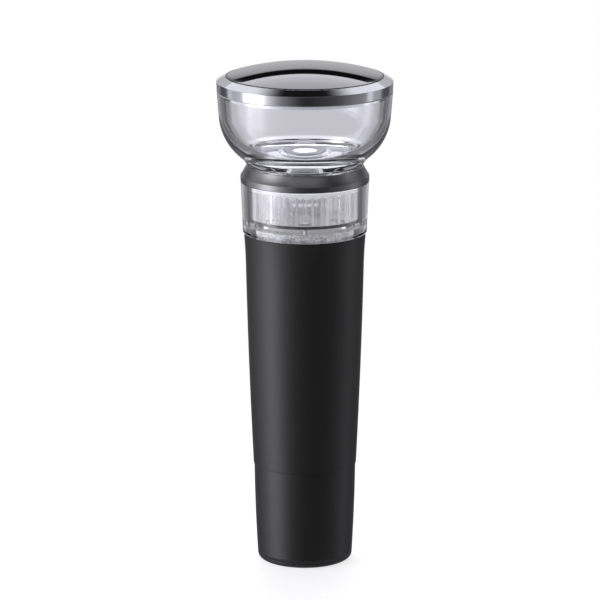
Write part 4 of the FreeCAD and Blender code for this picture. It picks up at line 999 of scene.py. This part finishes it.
class OPENER_OT_stem(PieceOperator, bpy.types.Operator):
    """Make the stem, its light rod, the return spring and the switch"""

    bl_idname = "opener.stem"
    bl_label = "Stem and switch"

    def make(self, sizes, colours):
        steel = turned_steel("stem_metal", shade(colours.steel, 0.55), 0.22)
        tube = [(5.5, 159.55), (9.0, 159.55), (9.0, 160.85, 0.05), (8.4, 160.85, 0.05),
                (8.4, 161.55, 0.05), (9.0, 161.55, 0.05), (9.0, 177.35, 0.05),
                (9.3, 177.35, 0.05), (9.3, 177.85, 0.2), (5.5, 177.85, 0.25)]
        lathe("stem", tube, "push_head", "brushed_metal", steel, "stem_tube")
        rod = [(0.0, 157.45), (5.45, 157.45, 0.3),
               *arc((0.0, 177.3), 5.45, 0.33, math.pi / 2, 10)[:-1], (0.0, 177.63)]
        lathe("light_rod", rod, "push_head", "clear_plastic",
              frosted_plastic("light_rod_plastic", colours.frosted, 0.3, 0.9), "light_pipe")
        wire = drawn_wire(colours.spring)
        dress(wire, "stem_clip")
        low, high = (corner.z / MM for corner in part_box("head_spring"))
        mesh = bmesh.new()
        add_coil(mesh, SPRING_R, SPRING_WIRE_R, 4.5, low, high)
        spring = fit(piece_from("return_spring", mesh), "top_unit", "spring_steel", wire,
                     "head_spring")
        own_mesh(spring)
        dress(moulded_plastic("switch_plastic", colours.black, 0.35), "switch_body")
        dress(moulded_plastic("plunger_plastic", colours.white, 0.3), "switch_plunger")


class OPENER_OT_bowl(PieceOperator, bpy.types.Operator):
    """Make the thick clear bowl of the push head"""

    bl_idname = "opener.bowl"
    bl_label = "Bowl"

    def make(self, sizes, colours):
        corner = (27.1, 177.85)
        shoulder = (36.6, 195.05)
        floor = (20.0, 179.25)
        inner = (33.5, 196.05)
        inside = tangent_arc(floor, inner, BOWL_SLOPE)
        outline = [
            (9.0, 169.15), (12.0, 169.15, 0.4), (12.0, 174.15, 0.3), (21.0, 174.15, 0.3),
            (21.0, 169.15, 0.3), (24.2, 169.15, 0.4), (24.2, 175.25, 0.1), (25.3, 175.65, 0.2),
            (*corner, 0.6), *tangent_arc(corner, shoulder, BOWL_SLOPE)[1:],
            (37.45, 206.05, 0.1), (34.35, 206.05, 0.1), *reversed(inside[1:]), (*floor, 0.5),
            *bow(floor, (9.6, 177.35), 0.3)[1:-1], (9.6, 177.35, 0.1), (9.0, 177.35, 0)
        ]
        clear = clear_plastic("bowl_clear", colours.clear, sizes.flow_depth / MM)
        lathe("bowl", outline, "push_head", "clear_plastic", clear, "head_bowl",
              steps=HEAD_STEPS)


class OPENER_OT_bezel(PieceOperator, bpy.types.Operator):
    """Make the bezel, the thin seal under it and the dark dome"""

    bl_idname = "opener.bezel"
    bl_label = "Bezel and dome"

    def make(self, sizes, colours):
        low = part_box("bezel_seal")[0].z / MM
        edge = low + 4.4
        top = low + 6.6
        outline = [(32.16, low - 1.5), (34.16, low - 1.5), (34.16, low + 0.3),
                   (37.45, low + 0.3, 0.08), (37.6, edge, 0.14), (33.7, top, 0.1),
                   (33.7, top - 2.0), (32.16, top - 2.0)]
        lathe("bezel", outline, "push_head", "brushed_metal",
              bezel_metal(colours.bezel, edge * MM), "bezel_ring", steps=HEAD_STEPS)
        seal = [(34.4, low), (37.42, low, 0.1), (37.42, low + 0.3, 0.1), (34.4, low + 0.3)]
        lathe("seal_line", seal, "push_head", "seal_white", silicone(colours.seal),
              "bezel_seal", steps=HEAD_STEPS)
        middle = top + DOME_RISE
        sphere = (DOME_R ** 2 + DOME_RISE ** 2) / (2 * DOME_RISE)
        inner = sphere - DOME_WALL
        centre = middle - sphere
        outside = dome_arc(sphere, centre, DOME_R, WALL_STEPS)[-2:0:-1]
        inside = dome_arc(inner, centre, DOME_INNER_R, ARC_STEPS)[1:]
        dome = [(DOME_R, top - 2.0), (DOME_R, top - 0.1, 0), *outside, (0.0, middle),
                (0.0, middle - DOME_WALL), *inside]
        lathe("dome", dome, "push_head", "dark_dome", dark_glaze(colours.dome), "lens_dome",
              steps=HEAD_STEPS)


# ---- floor, light and camera ----

def aim(thing, middle, direction, distance):
    """Puts a light or a camera at a distance from the middle that it faces."""
    thing.location = middle + direction * distance
    thing.rotation_euler = direction.to_track_quat("Z", "Y").to_euler()
    bpy.context.scene.collection.objects.link(thing)


def softbox(name, elevation, distance, width, height, radiance):
    """A wide soft light high up behind, which the camera doesn't see."""
    data = bpy.data.lights.new(name, "AREA")
    data.shape = "RECTANGLE"
    data.size = width
    data.size_y = height
    data.energy = radiance * math.pi * width * height
    data.color = (0.93, 0.91, 1.0)
    light = bpy.data.objects.new(name, data)
    light.visible_camera = False
    up = math.radians(elevation)
    aim(light, Vector((0, 0, LIT_HEIGHT)), Vector((0, math.cos(up), math.sin(up))), distance)


LIT_HEIGHT = 0.15       # what the softbox points at, in metres
FLOOR_DROP = 0.02       # keeps the floor clear of the cap's foot, in millimetres
FADE_START = 0.55       # where the floor starts to fade, as a share of its reach
CAMERA_SHIFT = -0.0081
SENSOR = 36.0           # the camera's frame, in millimetres

# The light round the room, at table height: (bearing, brightness). The bearing is in degrees
# from straight behind the opener, and it is negative on the left.
ROOM = (
    (-180, 0.016), (-171, 0.046), (-163, 0.104), (-155, 0.167), (-147, 0.25), (-139, 0.48),
    (-130, 0.85), (-124, 1.4), (-118, 3.0), (-97, 3.0), (-90, 0.6), (-70, 0.5), (-66, 0.75),
    (-60, 0.7), (-57, 0.08), (-38, 0.08), (-35, 0.0), (35, 0.0), (38, 0.08), (59, 0.08),
    (62, 0.42), (79, 0.42), (82, 0.9), (88, 0.9), (91, 0.28), (108, 0.22), (126, 0.12),
    (140, 0.055), (180, 0.014),
)


def light_room(world, fill):
    """White to the eye. For reflections it is a room: a backdrop with a dark flag at each
    side of it, panels at the sides, a wide soft panel above and a dark front. fill is how
    bright that room is where clear plastic bends the view into it. Angles are in degrees."""
    world.use_nodes = True
    room = Nodes(world.node_tree)
    step = room.step
    x, y, z = room.split(room.node("ShaderNodeTexCoord", output="Generated"))
    height = room.maths("DEGREES", room.maths("ARCSINE", z))
    bearing = room.maths("DEGREES", room.maths("ARCTAN2", x, y))
    turn = abs(bearing)
    brightest = max(value for place, value in ROOM)
    stops = [((place + 180) / 360, (value / brightest,) * 3) for place, value in ROOM]
    around = room.node("ShaderNodeValToRGB", {"stops": stops}, {"Fac": bearing / 360 + 0.5})
    sides = around * brightest * (1 - step(height, 28.0, 46.0))
    sides = sides * step(height, -34.0, -20.0)
    behind = 1 - step(turn, 34.0, 37.0)
    gap = 1 - step(turn, 9.0, 13.0)
    low = 1 - step(height, 18.5, 20.5) * gap - step(height, 26.0, 28.0) * (1 - gap)
    backdrop = (0.5 + step(height, -14.0, 20.0) * 0.7) * behind * low
    near_middle = 1 - step(turn, 6.0, 12.0)
    panel = step(height, 26.0, 27.5) * (1 - step(height, 50.0, 66.0))
    panel = panel * (1 - step(turn, 44.0, 62.0))
    front = step(height, 30.0, 34.0) * (1 - step(height, 48.0, 58.0))
    panel = panel + front * step(turn, 132.0, 146.0) * 0.5
    ground = (1 - step(height, -34.0, -24.0)) * 0.3
    reflected = backdrop * (0.5 + near_middle * 0.5) + sides + panel + ground + 0.01
    flags = step(turn, 12.0, 20.0) * (1 - step(turn, 55.0, 58.0)) * low
    seen_through = (reflected + (1 - behind * low) * fill) * (1 - flags * 0.8) + backdrop * 0.35
    path = room.node("ShaderNodeLightPath").socket.node
    through = Wire(room, path.outputs["Is Transmission Ray"])
    eye = Wire(room, path.outputs["Is Camera Ray"])
    strength = reflected * (1 - through) + seen_through * through
    colour = room.mix(eye, (0.95, 0.94, 1.0), (1.0, 1.0, 1.0))
    sky = room.node("ShaderNodeBackground", None,
                    {"Color": colour, "Strength": strength * (1 - eye) + eye})
    room.node("ShaderNodeOutputWorld", None, {"Surface": sky})


class OPENER_OT_stage(bpy.types.Operator):
    """Make the floor, the soft light and the camera"""

    bl_idname = "opener.stage"
    bl_label = "Stage"
    bl_options = {"REGISTER", "UNDO"}

    def execute(self, context):
        scene = context.scene
        stage = scene.opener_stage
        reach = stage.floor_reach
        mesh = bmesh.new()
        bmesh.ops.create_circle(mesh, cap_ends=True, radius=reach, segments=96)
        data = bpy.data.meshes.new("floor")
        mesh.to_mesh(data)
        mesh.free()
        floor = bpy.data.objects.new("floor", data)
        floor.location.z = -FLOOR_DROP * MM
        data.materials.append(
            pale_floor(stage.floor, stage.floor_glow, reach * FADE_START, reach))
        scene.collection.objects.link(floor)
        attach(floor, "foil_cutter")

        scene.world = bpy.data.worlds.new("room")
        light_room(scene.world, stage.fill)
        softbox("high_softbox", 38.7, 5.0, 3.0, 1.95, stage.top_light)

        camera_data = bpy.data.cameras.new("camera")
        camera_data.lens = stage.lens
        camera_data.sensor_width = SENSOR
        camera_data.shift_x = CAMERA_SHIFT
        scene.camera = bpy.data.objects.new("camera", camera_data)
        aim(scene.camera, Vector((0, 0, stage.aim_height)),
            Vector((0, -math.cos(stage.camera_height), math.sin(stage.camera_height))),
            stage.camera_distance)
        scene.view_settings.view_transform = "Standard"
        return {"FINISHED"}


OPERATORS = (
    OPENER_OT_stage, OPENER_OT_cap, OPENER_OT_cutter, OPENER_OT_sleeve, OPENER_OT_nose,
    OPENER_OT_drive, OPENER_OT_cells, OPENER_OT_window, OPENER_OT_lamps, OPENER_OT_collar,
    OPENER_OT_stem, OPENER_OT_bowl, OPENER_OT_bezel,
)


class OPENER_PT_looks(bpy.types.Panel):
    """Lists the pieces, and the sizes and colours that they take"""

    bl_idname = "OPENER_PT_looks"
    bl_label = "Wine opener"
    bl_space_type = "VIEW_3D"
    bl_region_type = "UI"
    bl_category = "Opener"

    def draw(self, context):
        for operator in OPERATORS:
            self.layout.operator(operator.bl_idname)
        for group in (context.scene.opener_sizes, context.scene.opener_colours,
                      context.scene.opener_stage):
            box = self.layout.box()
            for name in group.__annotations__:
                box.prop(group, name)


GROUPS = {"opener_sizes": OpenerSizes, "opener_colours": OpenerColours,
          "opener_stage": OpenerStage}


def register():
    for one in (*GROUPS.values(), *OPERATORS, OPENER_PT_looks):
        bpy.utils.register_class(one)
    for name, group in GROUPS.items():
        setattr(bpy.types.Scene, name, bpy.props.PointerProperty(type=group))


def unregister():
    for name in GROUPS:
        delattr(bpy.types.Scene, name)
    for one in (OPENER_PT_looks, *reversed(OPERATORS), *GROUPS.values()):
        bpy.utils.unregister_class(one)


def main():
    register()
    for operator in OPERATORS:
        group, name = operator.bl_idname.split(".")
        getattr(getattr(bpy.ops, group), name)()


if __name__ == "__main__":
    main()
